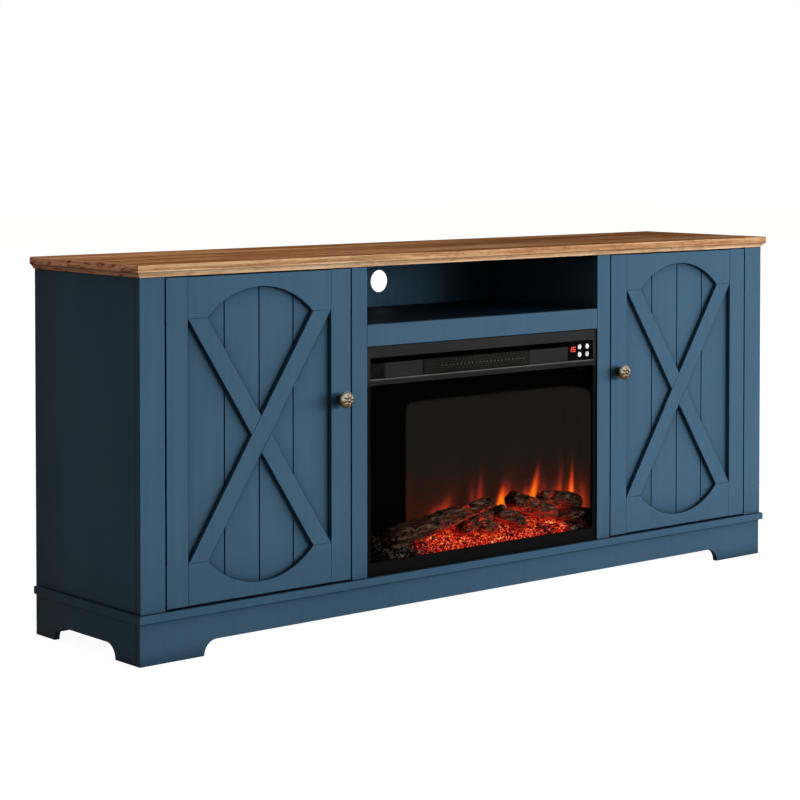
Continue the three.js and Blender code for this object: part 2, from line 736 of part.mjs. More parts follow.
// Where each log lies: both ends as shares of half the firebox's width, the fire's depth and the fire's
// height, with its radius.
const logPlaces = [
  { startShares: [-0.79, 0.44, 0.29], endShares: [0.16, 0.52, 0.83], radius: logLargeRadius },
  { startShares: [-0.16, 0.32, 0.33], endShares: [0.15, 0.42, 0.62], radius: logSmallRadius },
  { startShares: [-0.02, 0.42, 0.36], endShares: [0.17, 0.3, 0.29], radius: logMiddleRadius },
  { startShares: [0.18, 0.34, 0.65], endShares: [0.43, 0.3, 0.22], radius: logSmallRadius },
  { startShares: [0.26, 0.46, 0.91], endShares: [0.78, 0.4, 0.34], radius: logLargeRadius },
  { startShares: [0.56, 0.6, 0.72], endShares: [0.97, 0.64, 0.51], radius: logMiddleRadius },
  { startShares: [0.7, 0.34, 0.33], endShares: [0.97, 0.34, 0.29], radius: logMiddleRadius },
  { startShares: [0.02, 0.72, 0.58], endShares: [0.86, 0.7, 0.51], radius: logMiddleRadius },
];

// A place in the firebox from its shares.
function firePlace([x, y, z]) {
  return new THREE.Vector3(
    x * innerHalf,
    insertY + glassThickness + y * fireDepth,
    glassBottom + z * fireHeight,
  );
}

// The logs as one body. Each is a rough, slightly tapered round; extra widens all of them alike.
function logSetGeometry(extra) {
  const logs = logPlaces.map(({ startShares, endShares, radius }, index) => {
    const start = firePlace(startShares);
    const end = firePlace(endShares);
    const along = end.clone().sub(start);
    const length = along.length() + 2 * extra;
    const log = new THREE.CylinderGeometry(radius * logTipShare + extra, radius + extra, length, 10, 5);
    const vertices = log.attributes.position;
    for (let i = 0; i < vertices.count; i += 1) {
      const angle = Math.atan2(vertices.getZ(i), vertices.getX(i));
      const turn = 3 * vertices.getY(i) / length + index;
      const wave = Math.sin(3 * angle + turn) + Math.sin(5 * angle - 2 * turn);
      const knobbly = 1 + logRoughnessShare * wave / 2;
      vertices.setX(i, vertices.getX(i) * knobbly);
      vertices.setZ(i, vertices.getZ(i) * knobbly);
    }
    const turned = new THREE.Quaternion().setFromUnitVectors(new THREE.Vector3(0, 1, 0), along.normalize());
    const middle = start.clone().add(end).multiplyScalar(1 / 2);
    return log.applyQuaternion(turned).translate(middle.x, middle.y, middle.z);
  });
  return join(...logs);
}

// The bed of embers: a lumpy slope from the glass up to the flame screen, hollowed under the logs.
function emberBedGeometry() {
  const half = innerHalf - fireMargin;
  const frontEdge = insertY + glassThickness + fireMargin;
  const backEdge = screenY - fireMargin;
  const floor = housingFloor + jointGap;
  const bed = new THREE.BoxGeometry(2 * half, backEdge - frontEdge, emberFrontHeight, 30, 6, 1);
  bed.translate(0, (frontEdge + backEdge) / 2, floor + emberFrontHeight / 2);
  const vertices = bed.attributes.position;
  for (let i = 0; i < vertices.count; i += 1) {
    if (vertices.getZ(i) < floor + emberFrontHeight / 2) continue;
    const backShare = (vertices.getY(i) - frontEdge) / (backEdge - frontEdge);
    const x = vertices.getX(i) / emberBumpLength;
    const lump = Math.sin(3 * x + 5 * backShare) * Math.cos(x - 7 * backShare);
    const slope = (emberBackHeight - emberFrontHeight) * backShare;
    vertices.setZ(i, floor + emberFrontHeight + slope + emberBumpHeight * lump);
  }
  return cut(bed, logSetGeometry(logClearance));
}

function spindleGeometry() {
  const rodEnd = spindleLength / 2 - jointGap;
  const pieces = [rodAlongX(shaftRadius, [-rodEnd, rodEnd], 12)];
  const flagCount = Math.round((spindleLength - 2 * spindleFlagLength) / spindleFlagPitch);
  for (let i = 0; i < flagCount; i += 1) {
    const flag = block(
      [-spindleFlagLength / 2, spindleFlagLength / 2],
      [-spindleFlagThickness / 2, spindleFlagThickness / 2],
      [-spindleFlagReach, spindleFlagReach],
    );
    const x = (i - (flagCount - 1) / 2) * spindleFlagPitch;
    pieces.push(flag.rotateX(2 * Math.PI * spindleTwistShare * i).translate(x, 0, 0));
  }
  return join(...pieces).translate(0, spindleY, spindleZ);
}

// A drum blower: end discs on a shaft, joined by blades along its rim.
function blowerGeometry() {
  const half = blowerLength / 2;
  const shaftEnd = bracketX + bracketThickness + bearingClearance;
  const pieces = [rodAlongX(shaftRadius, [-shaftEnd, shaftEnd], 12)];
  for (const side of Object.values(sides)) {
    const disc = mirrored(side, [half - blowerDiscThickness, half]);
    pieces.push(rodAlongX(blowerRadius, disc, 2 * blowerBladeCount));
  }
  const lap = blowerDiscThickness / 2;
  for (let i = 0; i < blowerBladeCount; i += 1) {
    const outer = blowerRadius - blowerBladeThickness;
    const blade = block(
      [-half + lap, half - lap],
      [-blowerBladeThickness / 2, blowerBladeThickness / 2],
      [outer - blowerBladeDepth, outer],
    );
    pieces.push(blade.rotateX(2 * Math.PI * i / blowerBladeCount));
  }
  return join(...pieces).translate(0, blowerY, blowerZ);
}

function glandGeometry() {
  const inside = -housingWall - glandFlangeThickness;
  const outside = inside + glandLength;
  return turnedAboutY([
    [glandBoreRadius, inside],
    [glandRadius, inside],
    [glandRadius, jointGap],
    [glandFlangeRadius, jointGap],
    [glandFlangeRadius, glandFlangeThickness],
    [glandRadius, outside],
    [glandBoreRadius, outside],
    [glandBoreRadius, inside],
  ], 16).translate(housingHalf - glandInset, housingBackY, housingFloor + glandRise);
}

function addInsert() {
  const glassX = [-windowHalf - housingLap, windowHalf + housingLap];
  const screenX = [fireMargin - innerHalf, innerHalf - fireMargin];
  addPiece(model, 'firebox_housing', housingGeometry(), blackMetal);
  addPiece(model, 'front_trim_frame', trimFrameGeometry(), blackMetal);
  addPiece(model, 'front_glass', block(
    glassX, [insertY, insertY + glassThickness], [glassBottom - glassLap, glassTop + glassLap],
  ), glass);
  addPiece(model, 'flame_screen', block(
    screenX, [screenY, screenY + screenThickness], [housingFloor + jointGap, partitionBottom - jointGap],
  ), flame);
  addPiece(model, 'log_set', logSetGeometry(0), bark);
  addPiece(model, 'ember_bed', emberBedGeometry(), ember);
  addPiece(model, 'flicker_spindle', spindleGeometry(), aluminium);
  addPiece(model, 'blower_wheel', blowerGeometry(), aluminium);
  addPiece(model, 'cord_gland', glandGeometry(), blackPlastic);
  addControls();
}

addCarcass();
addAprons();
addShelfBay();
for (const [name, side] of Object.entries(sides)) addDoor(name, side);
addInsert();

export default model;
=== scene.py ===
"""The looks of the fireplace TV stand: pieces, materials, studio and camera around the part, in metres."""

import json
import math
from collections import namedtuple
from functools import cached_property

import bmesh
import bpy
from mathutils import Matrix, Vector, noise

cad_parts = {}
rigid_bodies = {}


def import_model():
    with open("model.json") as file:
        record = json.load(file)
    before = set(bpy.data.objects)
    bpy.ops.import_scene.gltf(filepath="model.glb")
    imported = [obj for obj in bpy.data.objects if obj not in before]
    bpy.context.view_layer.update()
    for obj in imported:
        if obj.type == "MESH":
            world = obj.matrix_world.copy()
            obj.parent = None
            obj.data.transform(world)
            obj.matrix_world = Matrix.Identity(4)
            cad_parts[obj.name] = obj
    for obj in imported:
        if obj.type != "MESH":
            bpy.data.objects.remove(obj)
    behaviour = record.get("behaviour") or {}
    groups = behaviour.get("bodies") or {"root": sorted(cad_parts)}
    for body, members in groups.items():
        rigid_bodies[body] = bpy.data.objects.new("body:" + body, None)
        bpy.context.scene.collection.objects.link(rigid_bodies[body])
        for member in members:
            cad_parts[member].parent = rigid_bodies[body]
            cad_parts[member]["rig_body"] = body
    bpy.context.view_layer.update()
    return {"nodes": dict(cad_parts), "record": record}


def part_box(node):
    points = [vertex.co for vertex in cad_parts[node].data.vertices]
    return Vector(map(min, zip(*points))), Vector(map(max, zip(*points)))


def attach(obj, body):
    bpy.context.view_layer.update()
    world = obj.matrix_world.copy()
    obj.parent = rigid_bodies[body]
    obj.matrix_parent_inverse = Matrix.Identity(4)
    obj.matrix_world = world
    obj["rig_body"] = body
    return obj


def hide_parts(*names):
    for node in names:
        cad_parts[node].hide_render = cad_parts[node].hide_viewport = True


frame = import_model()

ROOT_BODY = "cabinet"
PIECE_GAP = 0.0003
X_AXIS, Y_AXIS, Z_AXIS = range(3)
BLACK = (0, 0, 0)
WHITE = (255, 255, 255)

# Camera: the photograph's viewpoint, worked out from the part's corners in it.
CAMERA_PLACE = (-3.17780, -3.63244, 1.00134)
CAMERA_TILT = 0.030100
CAMERA_YAW = -0.703705
CAMERA_LENS_MM = 99.825
CAMERA_SENSOR_MM = 36
CAMERA_SHIFT_Y = -0.25
CAMERA_REACH = 100

# Studio
STUDIO_TARGET = (0, 0, 0.4)
AMBIENT_LEVEL = 0.145
AMBIENT_TINT = (1, 0.94, 0.7, 1)
FLOOR_SIZE = 40
FLOOR_BOUNCE = (0.22, 0.22, 0.22, 1)
FLOOR_TONE = (0.35, 0.35, 0.35, 1)
FLOOR_GLOW = 0.955
Lamp = namedtuple("Lamp", "name azimuth elevation distance width height watts")
LAMPS = [
    Lamp("key_lamp", 57, 6.5, 7.5, 10.6, 1.9, 1080),
    Lamp("fill_lamp", 16, 5, 12, 3.0, 2.0, 110),
    Lamp("back_lamp", 180, 3, 12, 1.5, 2.0, 1100),
    Lamp("top_lamp", 240, 57, 1.8, 0.6, 0.6, 5.2),
]

# Easing of the edges, less on metal, glass and plastic
WELD_DISTANCE = 1e-6
FLAT_ANGLE = math.radians(0.5)
SHARP_ANGLE = math.radians(28)
EASED_EDGE = 0.0009
EASED_CRISP_EDGE = 0.0005
EASING_STEPS = 2
CRISP_SLOTS = ("black_metal", "hinge_steel", "bright_aluminium", "front_glass", "black_plastic")
# Parts whose eased edges take a dark line of painted shade
OUTLINED_PARTS = ("_door_top_rail", "_door_bottom_rail", "_door_hinge_stile", "_door_latch_stile", "_brace")

# Depth and strength of the fine relief in the materials
FINE_RELIEF = (0.0001, 0.2)
GRAIN_RELIEF = (0.0002, 0.25)
PAINT_RELIEF = (0.0003, 0.12)
WOOD_RELIEF = (0.0004, 0.3)
FIRE_RELIEF = (0.002, 0.5)

# Paint: painted shade darkens it towards the floor and rear, and in shadow lines, gaps, corners and grooves
PAINTED_LOW_SHADE_HEIGHTS = (0.02, 0.26)
PAINTED_LOW_SHADE_LEVEL = 0.79
SHADE_AND_LINE_COLOUR = (10, 17, 27)
TOP_SHADOW_LINE_REACH = 0.0022
ABOVE_BASE_REACHES = (0.0022, 0.008)
BELOW_BASE_REACHES = (0.0065, 0.003)
SHADOW_LINE_START = 0.05
SHADOW_LINE_DARKNESS = 0.9
SIDE_SHADE_SPAN = (0.03, 0.21)
SIDE_SHADE_LEVEL = 0.55
REAR_EDGE = 0.0042
DOOR_BORDER = 0.0011
EDGE_DARKNESS = 0.88
FLUSH_DARKNESS = 0.12
FLUSH_REACH = 0.0015
CROSSING_REACH = 0.045
GROOVE_LIP = 0.0002
GROOVE_DEPTH = 0.0022
# Reach and strength of the painted shade in corners and gaps
CARCASS_CORNER = (0.03, 1.0)
DOOR_CORNER = (0.05, 0.7)
CLOSENESS_RAYS = 16

# Finishes that a part has in place of its slot's own, by a word in its name
PART_FINISHES = [
    ("_door_planks", "plank_paint"),
    ("_door_", "door_paint"),
    # The shelf takes a darker copy of the paint as painted shade inside the bay
    ("centre_shelf", "shaded_shelf_paint"),
    ("_divider", "blue_paint"),
    ("front_trim_frame", "trim_metal"),
    ("outlet_panel", "outlet_metal"),
    ("blower_wheel", "dull_aluminium"),
]

# Top board, whose edge is a rounded band over a hollowed bevel
TOP_ROUND = 0.0014
TOP_BAND_HEIGHT = 0.0145
TOP_STEP = 0.0009
TOP_OVERHANG = 0.009
TOP_LIP = 0.0011
TOP_HOLLOW_SHARE = 0.16
TOP_ROUND_STEPS = 4
TOP_BEVEL_STEPS = 6
# Painted light that brightens the board's left end
LEFT_END_PAINTED_LIGHT = (2.9, 2.4, 2.9, 1)
TOP_FACE_TINT = (0.92, 0.7, 0.57, 1)
# Painted shade on the top face towards the right
TOP_FACE_SHADE = 0.62

# Knobs, with the head's profile in shares of its radius and of its projection
KNOB_PROJECTION = 0.028
KNOB_RADIUS = 0.017
KNOB_NECK_RADIUS = 0.0065
KNOB_BASE_RADIUS = 0.010
KNOB_BASE_THICKNESS = 0.002
KNOB_STUD_RADIUS = 0.002
KNOB_STUD_LENGTH = 0.013
KNOB_SEGMENTS = 96
KNOB_PETALS = 7
KNOB_PETAL_DEPTH = 0.0022
KNOB_PETAL_SPAN_SHARES = (0.24, 0.9)
KNOB_FACE_SHARE = 0.76
KNOB_HEAD_SHARES = [
    (0.1, 0.998), (0.17, 0.985), (0.2, 0.955), (0.24, 0.94), (0.3, 0.965), (0.38, 0.98), (0.48, 0.975),
    (0.58, 0.96), (0.68, 0.93), (0.77, 0.885), (0.85, 0.825), (0.9, 0.77), (0.915, 0.735), (0.94, 0.725),
    (0.98, 0.715), (1, 0.675), (0.99, 0.63), (0.96, 0.6), (0.955, 0.58), (0.965, 0.55), (0.94, 0.51),
    (0.86, 0.46), (0.72, 0.42), (0.56, 0.39), (0.44, 0.36),
]

# Fire: its logs are placed in shares of half the firebox's width, the fire's depth and its height
FIRE_HALF_WIDTH = 0.324
FIRE_DEPTH = 0.080
FIRE_HEIGHT = 0.100
FIRE_FLOOR = 0.1263
Log = namedtuple("Log", "start_shares end_shares start_radius end_radius")
FULL_LOG = 0.024
LARGE_LOG = 0.020
MIDDLE_LOG = 0.017
SMALL_LOG = 0.015
THIN_LOG = 0.012
LOGS = [
    Log((-0.70, 0.44, 0.32), (0.16, 0.52, 0.75), FULL_LOG, SMALL_LOG),
    Log((-0.11, 0.3, 0.33), (0.16, 0.4, 0.53), SMALL_LOG, THIN_LOG),
    Log((0.03, 0.28, 0.34), (0.16, 0.28, 0.28), SMALL_LOG, THIN_LOG),
    Log((0.22, 0.34, 0.58), (0.41, 0.3, 0.25), MIDDLE_LOG, SMALL_LOG),
    Log((0.37, 0.46, 0.77), (0.72, 0.4, 0.37), LARGE_LOG, MIDDLE_LOG),
    Log((0.68, 0.62, 0.70), (0.94, 0.28, 0.56), MIDDLE_LOG, MIDDLE_LOG),
    Log((0.78, 0.34, 0.28), (0.95, 0.27, 0.30), THIN_LOG, SMALL_LOG),
    Log((0.02, 0.72, 0.42), (0.86, 0.7, 0.42), MIDDLE_LOG, MIDDLE_LOG),
    Log((-0.30, 0.56, 0.60), (-0.26, 0.5, 0.5), THIN_LOG, THIN_LOG),
]
LOG_BULGE_SHARE = 0.1
LOG_RINGS_PER_METRE = 300
LOG_SIDES = 40
LOG_END_STEPS = 4
LOG_END_SHARE = 0.7
LOG_WAVE_SHARE = 0.09
LOG_KNOT_SHARE = 0.18
LOG_KNOT_LENGTH = 0.03
LOG_BARK_SHARE = 0.13
BARK_LENGTH = 0.045
BARK_WIDTH = 0.007
BARK_SHARPNESS = 2.4
BARK_LEVEL = 0.5
BARK_FRACTAL = (0.8, 2.1, 4)
LOGS_LEFT_EDGE = (-0.2, -0.06)
LOGS_RIGHT_EDGE = (0.25, 0.29)
EMBER_FRONT_HEIGHT = 0.033
EMBER_BACK_HEIGHT = 0.062
EMBER_SWELL = 0.005
EMBER_SWELL_LENGTH = 0.036
EMBER_LUMP = 0.0055
EMBER_LUMP_LENGTH = 0.009
EMBER_GRID = 0.0026
EMBERS_PER_METRE = 125
EMBERS_LEFT_EDGE = (-0.195, -0.14)
EMBERS_RIGHT_EDGE = (0.235, 0.285)
ASH_LEFT_EDGE = (-0.28, -0.25)

# The picture on the flame screen, and the painted reflection of the fire on the side liners
PICTURE_LEFT = -0.153
PICTURE_TOP = 0.4375
PICTURE_CORNER = 0.030
PICTURE_SOFTNESS = 0.010
FLAME_SWAY = 0.008
WALL_HEIGHTS = (0.14, 0.45)
Flame = namedtuple("Flame", "x foot height width lean heat")
FLAMES = [
    Flame(-0.078, 0.170, 0.060, 0.024, 0.012, 0.42),
    Flame(-0.046, 0.180, 0.070, 0.026, 0.030, 0.58),
    Flame(0.040, 0.190, 0.090, 0.011, 0.000, 0.40),
    Flame(0.063, 0.190, 0.110, 0.013, 0.006, 0.52),
    Flame(0.122, 0.180, 0.078, 0.014, 0.016, 1.12),
    Flame(0.143, 0.190, 0.085, 0.012, 0.014, 0.46),
    Flame(0.170, 0.185, 0.065, 0.020, 0.000, 0.42),
    Flame(0.200, 0.190, 0.055, 0.014, 0.004, 0.58),
    Flame(0.222, 0.190, 0.100, 0.013, 0.024, 1.02),
    Flame(0.255, 0.190, 0.065, 0.017, 0.000, 0.45),
    Flame(0.290, 0.185, 0.055, 0.016, 0.000, 0.42),
    Flame(0.308, 0.185, 0.110, 0.012, 0.002, 0.52),
]
# Flames painted on the side liners as their reflection of the fire
LINER_PAINTED_FLAME_REFLECTIONS = [
    Flame(-0.088, 0.185, 0.060, 0.014, 0.000, 0.45),
    Flame(-0.104, 0.185, 0.110, 0.009, -0.004, 0.95),
    Flame(-0.138, 0.180, 0.080, 0.022, 0.000, 0.50),
]
LINER_THICKNESS = 0.003
LINER_FOOT = 0.168
LINER_PICTURE_FRONT = -0.172

# Air outlet: its window, the ledge under it, painted shade at the left end, a black strip of painted shadow,
# a lip lit by a painted highlight, perforated sheet and studs
WINDOW_HALF_WIDTH = 0.3195
WINDOW_FOOT = 0.5012
WINDOW_TOP = 0.5447
LEDGE_FOOT = 0.4885
LEDGE_EDGE = 0.0015
LEDGE_HEAD = 0.4975
LEDGE_SHADE = 0.42
# The black of the frame round the glass, and of the painted shade in the outlet
BLACK_AND_SHADE_COLOUR = (4, 4, 4)
LEFT_SHADE_END = -0.273
LEFT_SHADE_SOFTNESS = 0.006
BAR_ROUND_STEPS = 8
SHADOW_STRIP_REACH = 0.003
SHADOW_STRIP_FOOT = 0.5325
LIP_REACH = 0.0005
LIP_FOOT = 0.4986
GRILLE_LEFT = -0.1700
GRILLE_RIGHT = 0.1275
GRILLE_FOOT = 0.5030
GRILLE_HEAD = 0.5325
GRILLE_RIM = 0.003
GRILLE_COLUMNS = 56
GRILLE_ROWS = 6
GRILLE_HOLE_SHARE = 0.66
GRILLE_THICKNESS = 0.0006
STUD_COUNT = 23
STUD_PITCH = 0.0106
STUD_SIDES = 12
STUD_HALF_LENGTH = 0.0021
STUD_HALF_WIDTH = 0.0008
STUD_HEIGHT = 0.0005
STUD_RINGS = ((1, 0), (1, 0.5), (0.55, 1))
STUDS_LEFT = -0.1200
STUDS_MIDDLE = 0.5165

# Control panel display, two plain digits of seven strokes each
DISPLAY_INSET = 0.014
DISPLAY_RISE = 0.002
DISPLAY_DEPTH = 0.001
DIGIT_HEIGHT = 0.0116
DIGIT_WIDTH = 0.0082
DIGIT_PITCH = 0.0112
DIGIT_STROKE = 0.0021
DIGIT_RELIEF = 0.0004
DIGIT_SLANT = 0.1
DIGITS = {"1": "bc", "5": "acdfg"}
DISPLAY_TEXT = "15"


finishes = {}


def linear(red, green, blue):
    """A colour for a node socket from 8-bit sRGB values."""
    channels = []
    for value in (red, green, blue):
        share = value / 255
        channels.append(share / 12.92 if share <= 0.04045 else ((share + 0.055) / 1.055) ** 2.4)
    return (*channels, 1)


class Value:
    """A node's output. Arithmetic on it adds maths nodes beside its own node."""

    def __init__(self, shader, socket):
        self.shader = shader
        self.socket = socket

    def __add__(self, other):
        return self.shader.maths("ADD", self, other)

    __radd__ = __add__

    def __sub__(self, other):
        return self.shader.maths("SUBTRACT", self, other)

    def __rsub__(self, other):
        return self.shader.maths("SUBTRACT", other, self)

    def __mul__(self, other):
        return self.shader.maths("MULTIPLY", self, other)

    def __truediv__(self, other):
        return self.shader.maths("DIVIDE", self, other)

    def __abs__(self):
        return self.shader.maths("ABSOLUTE", self)

    def spread(self, low, high, new_low=0.0, new_high=1.0):
        """The value carried smoothly from one span to another, and held at its ends."""
        inputs = {"Value": self, "From Min": low, "From Max": high, "To Min": new_low, "To Max": new_high}
        return self.shader.add("ShaderNodeMapRange", inputs, interpolation_type="SMOOTHSTEP")


class Shader:
    """The nodes of a material or a world under construction. Most methods add one and return its output."""

    def __init__(self, name, collection="materials"):
        self.name = name
        self.owner = getattr(bpy.data, collection).new(name)
        self.owner.use_nodes = True
        self.tree = self.owner.node_tree
        self.tree.nodes.clear()

    def feed(self, socket, value):
        """Gives a socket a value or a constant. A colour of three numbers is in 8-bit sRGB values."""
        if isinstance(value, Value):
            self.tree.links.new(value.socket, socket)
        elif socket.type == "RGBA" and len(value) == 3:
            socket.default_value = linear(*value)
        else:
            socket.default_value = value

    def add(self, kind, inputs, output=0, **settings):
        node = self.tree.nodes.new(kind)
        for name, value in settings.items():
            setattr(node, name, value)
        for name, value in inputs.items():
            self.feed(node.inputs[name], value)
        return Value(self, node.outputs[output])

    @cached_property
    def place(self):
        return self.add("ShaderNodeTexCoord", {}, output="Object")

    @cached_property
    def axes(self):
        return self.split(self.place)

    def split(self, vector):
        node = self.tree.nodes.new("ShaderNodeSeparateXYZ")
        self.feed(node.inputs[0], vector)
        return [Value(self, socket) for socket in node.outputs]

    def facing(self, axis):
        """How much the surface faces along an axis, from -1 to 1."""
        return self.split(self.add("ShaderNodeNewGeometry", {}, output="Normal"))[axis]

    def vector(self, x, y, z):
        return self.add("ShaderNodeCombineXYZ", {"X": x, "Y": y, "Z": z})

    def noise(self, scale, detail=3.0, roughness=0.5, distortion=0.0, at=None):
        """Cloudy noise. A scale of three numbers squeezes it along each axis by its own."""
        vector = at or self.place
        if isinstance(scale, tuple):
            vector = self.add("ShaderNodeVectorMath", {0: vector, 1: scale}, operation="MULTIPLY")
            scale = 1
        inputs = {"Vector": vector, "Scale": scale, "Detail": detail, "Roughness": roughness}
        return self.add("ShaderNodeTexNoise", {**inputs, "Distortion": distortion})

    def cells(self, feature="F1", output="Distance"):
        inputs = {"Vector": self.place, "Scale": EMBERS_PER_METRE}
        return self.add("ShaderNodeTexVoronoi", inputs, output, feature=feature)

    def maths(self, operation, first, second=0.0):
        return self.add("ShaderNodeMath", {0: first, 1: second}, operation=operation)

    def largest(self, first, *others):
        for other in others:
            first = self.maths("MAXIMUM", first, other)
        return first

    def mix(self, factor, first, second, blend_type="MIX"):
        node = self.tree.nodes.new("ShaderNodeMix")
        node.data_type = "RGBA"
        node.blend_type = blend_type
        colours = [socket for socket in node.inputs if socket.type == "RGBA"]
        self.feed(node.inputs["Factor"], factor)
        self.feed(colours[0], first)
        self.feed(colours[1], second)
        return Value(self, [socket for socket in node.outputs if socket.type == "RGBA"][0])

    def ramp(self, factor, stops):
        """Colours along a value, from pairs of a place between 0 and 1 and 8-bit sRGB values."""
        node = self.tree.nodes.new("ShaderNodeValToRGB")
        self.feed(node.inputs[0], factor)
        elements = node.color_ramp.elements
        while len(elements) < len(stops):
            elements.new(1)
        for element, (position, colour) in zip(elements, stops):
            element.position = position
            element.color = linear(*colour)
        return Value(self, node.outputs[0])

    def bump(self, height, distance, strength):
        return self.add("ShaderNodeBump", {"Height": height, "Distance": distance, "Strength": strength})

    def finish(self, inputs):
        """Closes the material with its surface, and keeps it among the finishes under its name."""
        self.add_output(self.add("ShaderNodeBsdfPrincipled", inputs))
        finishes[self.name] = self.owner

    def add_output(self, surface, kind="ShaderNodeOutputMaterial"):
        output = self.tree.nodes.new(kind)
        self.feed(output.inputs["Surface"], surface)


def facing_aside(shader):
    """1 on the faces towards the left or the right, and 0 on the others."""
    return abs(shader.facing(X_AXIS)).spread(0.6, 0.8)


# Used for painted shade in corners, gaps and beside raised parts
def closeness(shader, reach, power):
    """How closed in a place is by what stands within reach of it: 0 in the open and 1 in a deep gap."""
    inputs = {"Distance": reach}
    openness = shader.add("ShaderNodeAmbientOcclusion", inputs, output="AO", samples=CLOSENESS_RAYS)
    return shader.maths("POWER", 1.0 - openness, power)


def painted(name, colour, shade, roughness, gloss, darkened=None):
    """Sprayed satin paint on board: a little uneven, with faint upright streaks. Painted shade darkens it
    towards the floor, and on the sides towards the rear."""
    shader = Shader(name)
    cloud = shader.noise(3.5, detail=4)
    streaks = shader.noise((70, 70, 3.5))
    peel = shader.noise(520, detail=2)
    tone = cloud.spread(0.3, 0.7, 0.0, 0.6) + streaks.spread(0.3, 0.7, 0.0, 0.4)
    _, y, z = shader.axes
    # Painted shade: darker towards the floor, and on the sides towards the rear
    painted_shade = z.spread(*PAINTED_LOW_SHADE_HEIGHTS, PAINTED_LOW_SHADE_LEVEL, 1.0)
    shaded = y.spread(*SIDE_SHADE_SPAN) * facing_aside(shader)
    painted_shade *= shaded.spread(0.0, 1.0, 1.0, SIDE_SHADE_LEVEL)
    base = shader.mix(1.0, shader.mix(tone, shade, colour), painted_shade, "MULTIPLY")
    # Painted shade and dark lines, mixed in by the part's marks
    if darkened:
        base = shader.mix(darkened(shader), base, SHADE_AND_LINE_COLOUR)
    shader.finish({
        "Base Color": base,
        "Roughness": cloud.spread(0.3, 0.7, roughness - 0.05, roughness + 0.05),
        "Specular IOR Level": gloss,
        "Normal": shader.bump(peel + streaks * 1.5, *PAINT_RELIEF),
    })


def shadow_line(shader, height, reach):
    """A painted shadow line that starts where the height is zero and fades within its reach."""
    past = height / reach
    return past.spread(0.0, 1.0, SHADOW_LINE_DARKNESS, 0.0) * shader.maths("GREATER_THAN", past, SHADOW_LINE_START)


def carcass_marks(shader):
    """Painted shadow lines under the top board and on both sides of the base board, a dark line along the
    rear edge of the sides, and painted shade in corners and gaps."""
    _, y, z = shader.axes
    base_low, base_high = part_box("base_board")
    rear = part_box("left_side_panel")[1].y
    aside = facing_aside(shader)
    return shader.largest(
        shadow_line(shader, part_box("top_board")[0].z - z, TOP_SHADOW_LINE_REACH),
        shadow_line(shader, z - base_high.z, aside.spread(0.0, 1.0, *ABOVE_BASE_REACHES)),
        shadow_line(shader, base_low.z - z, aside.spread(0.0, 1.0, *BELOW_BASE_REACHES)),
        y.spread(rear - REAR_EDGE, rear - REAR_EDGE / 2) * aside,
        closeness(shader, *CARCASS_CORNER),
    )


def from_door_middle(shader):
    """How far a place lies aside from the middle of its door and above or below it, then that middle of the
    right door and half its size."""
    low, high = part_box("right_door_latch_stile")[0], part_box("right_door_hinge_stile")[1]
    middle, half = (low + high) / 2, (high - low) / 2
    x, _, z = shader.axes
    return abs(abs(x) - middle.x), abs(z - middle.z), middle, half


def door_marks(shader):
    """Painted shade along a door's upright edges, where they turn into the gap."""
    aside, _, _, half = from_door_middle(shader)
    return aside.spread(half.x - DOOR_BORDER, half.x)


def edge_marks(shader):
    """A line of painted shade along a door's raised edges. It fades where two of its parts meet flush."""
    aside, above, middle, _ = from_door_middle(shader)
    brace_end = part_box("right_door_rising_brace")[1] - middle
    at_end = abs(above - brace_end.z).spread(FLUSH_REACH, 2 * FLUSH_REACH, 1.0, 0.0)
    beyond = above.spread(brace_end.z, brace_end.z + FLUSH_REACH)
    by_stile = aside.spread(brace_end.x - 2 * FLUSH_REACH, brace_end.x - FLUSH_REACH)
    crossing = (CROSSING_REACH, CROSSING_REACH + FLUSH_REACH, 1.0, 0.0)
    flush = shader.largest(at_end, beyond * by_stile, aside.spread(*crossing) * above.spread(*crossing))
    return flush.spread(0.0, 1.0, EDGE_DARKNESS, FLUSH_DARKNESS)


def plank_marks(shader):
    """Painted shade in the grooves between the planks, and soft painted shade beside the raised parts."""
    y = shader.axes[Y_AXIS]
    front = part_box("right_door_planks")[0].y
    inward = y.spread(front + GROOVE_LIP, front + 2 * GROOVE_LIP)
    inside = y.spread(front + GROOVE_DEPTH, front + 2 * GROOVE_DEPTH, 1.0, 0.0)
    return shader.largest(closeness(shader, *DOOR_CORNER), inward * inside)


def blue_paint(name, darkened):
    painted(name, (68, 98, 122), (63, 92, 115), 0.5, 0.03, darkened)


def inner_paint():
    painted("inner_paint", (54, 77, 94), (48, 70, 86), 0.6, 0.02)


# A darker copy of the paint, as painted shade on the shelf inside the bay
def shaded_shelf_paint():
    painted("shaded_shelf_paint", (22, 33, 42), (18, 28, 36), 0.6, 0.02)


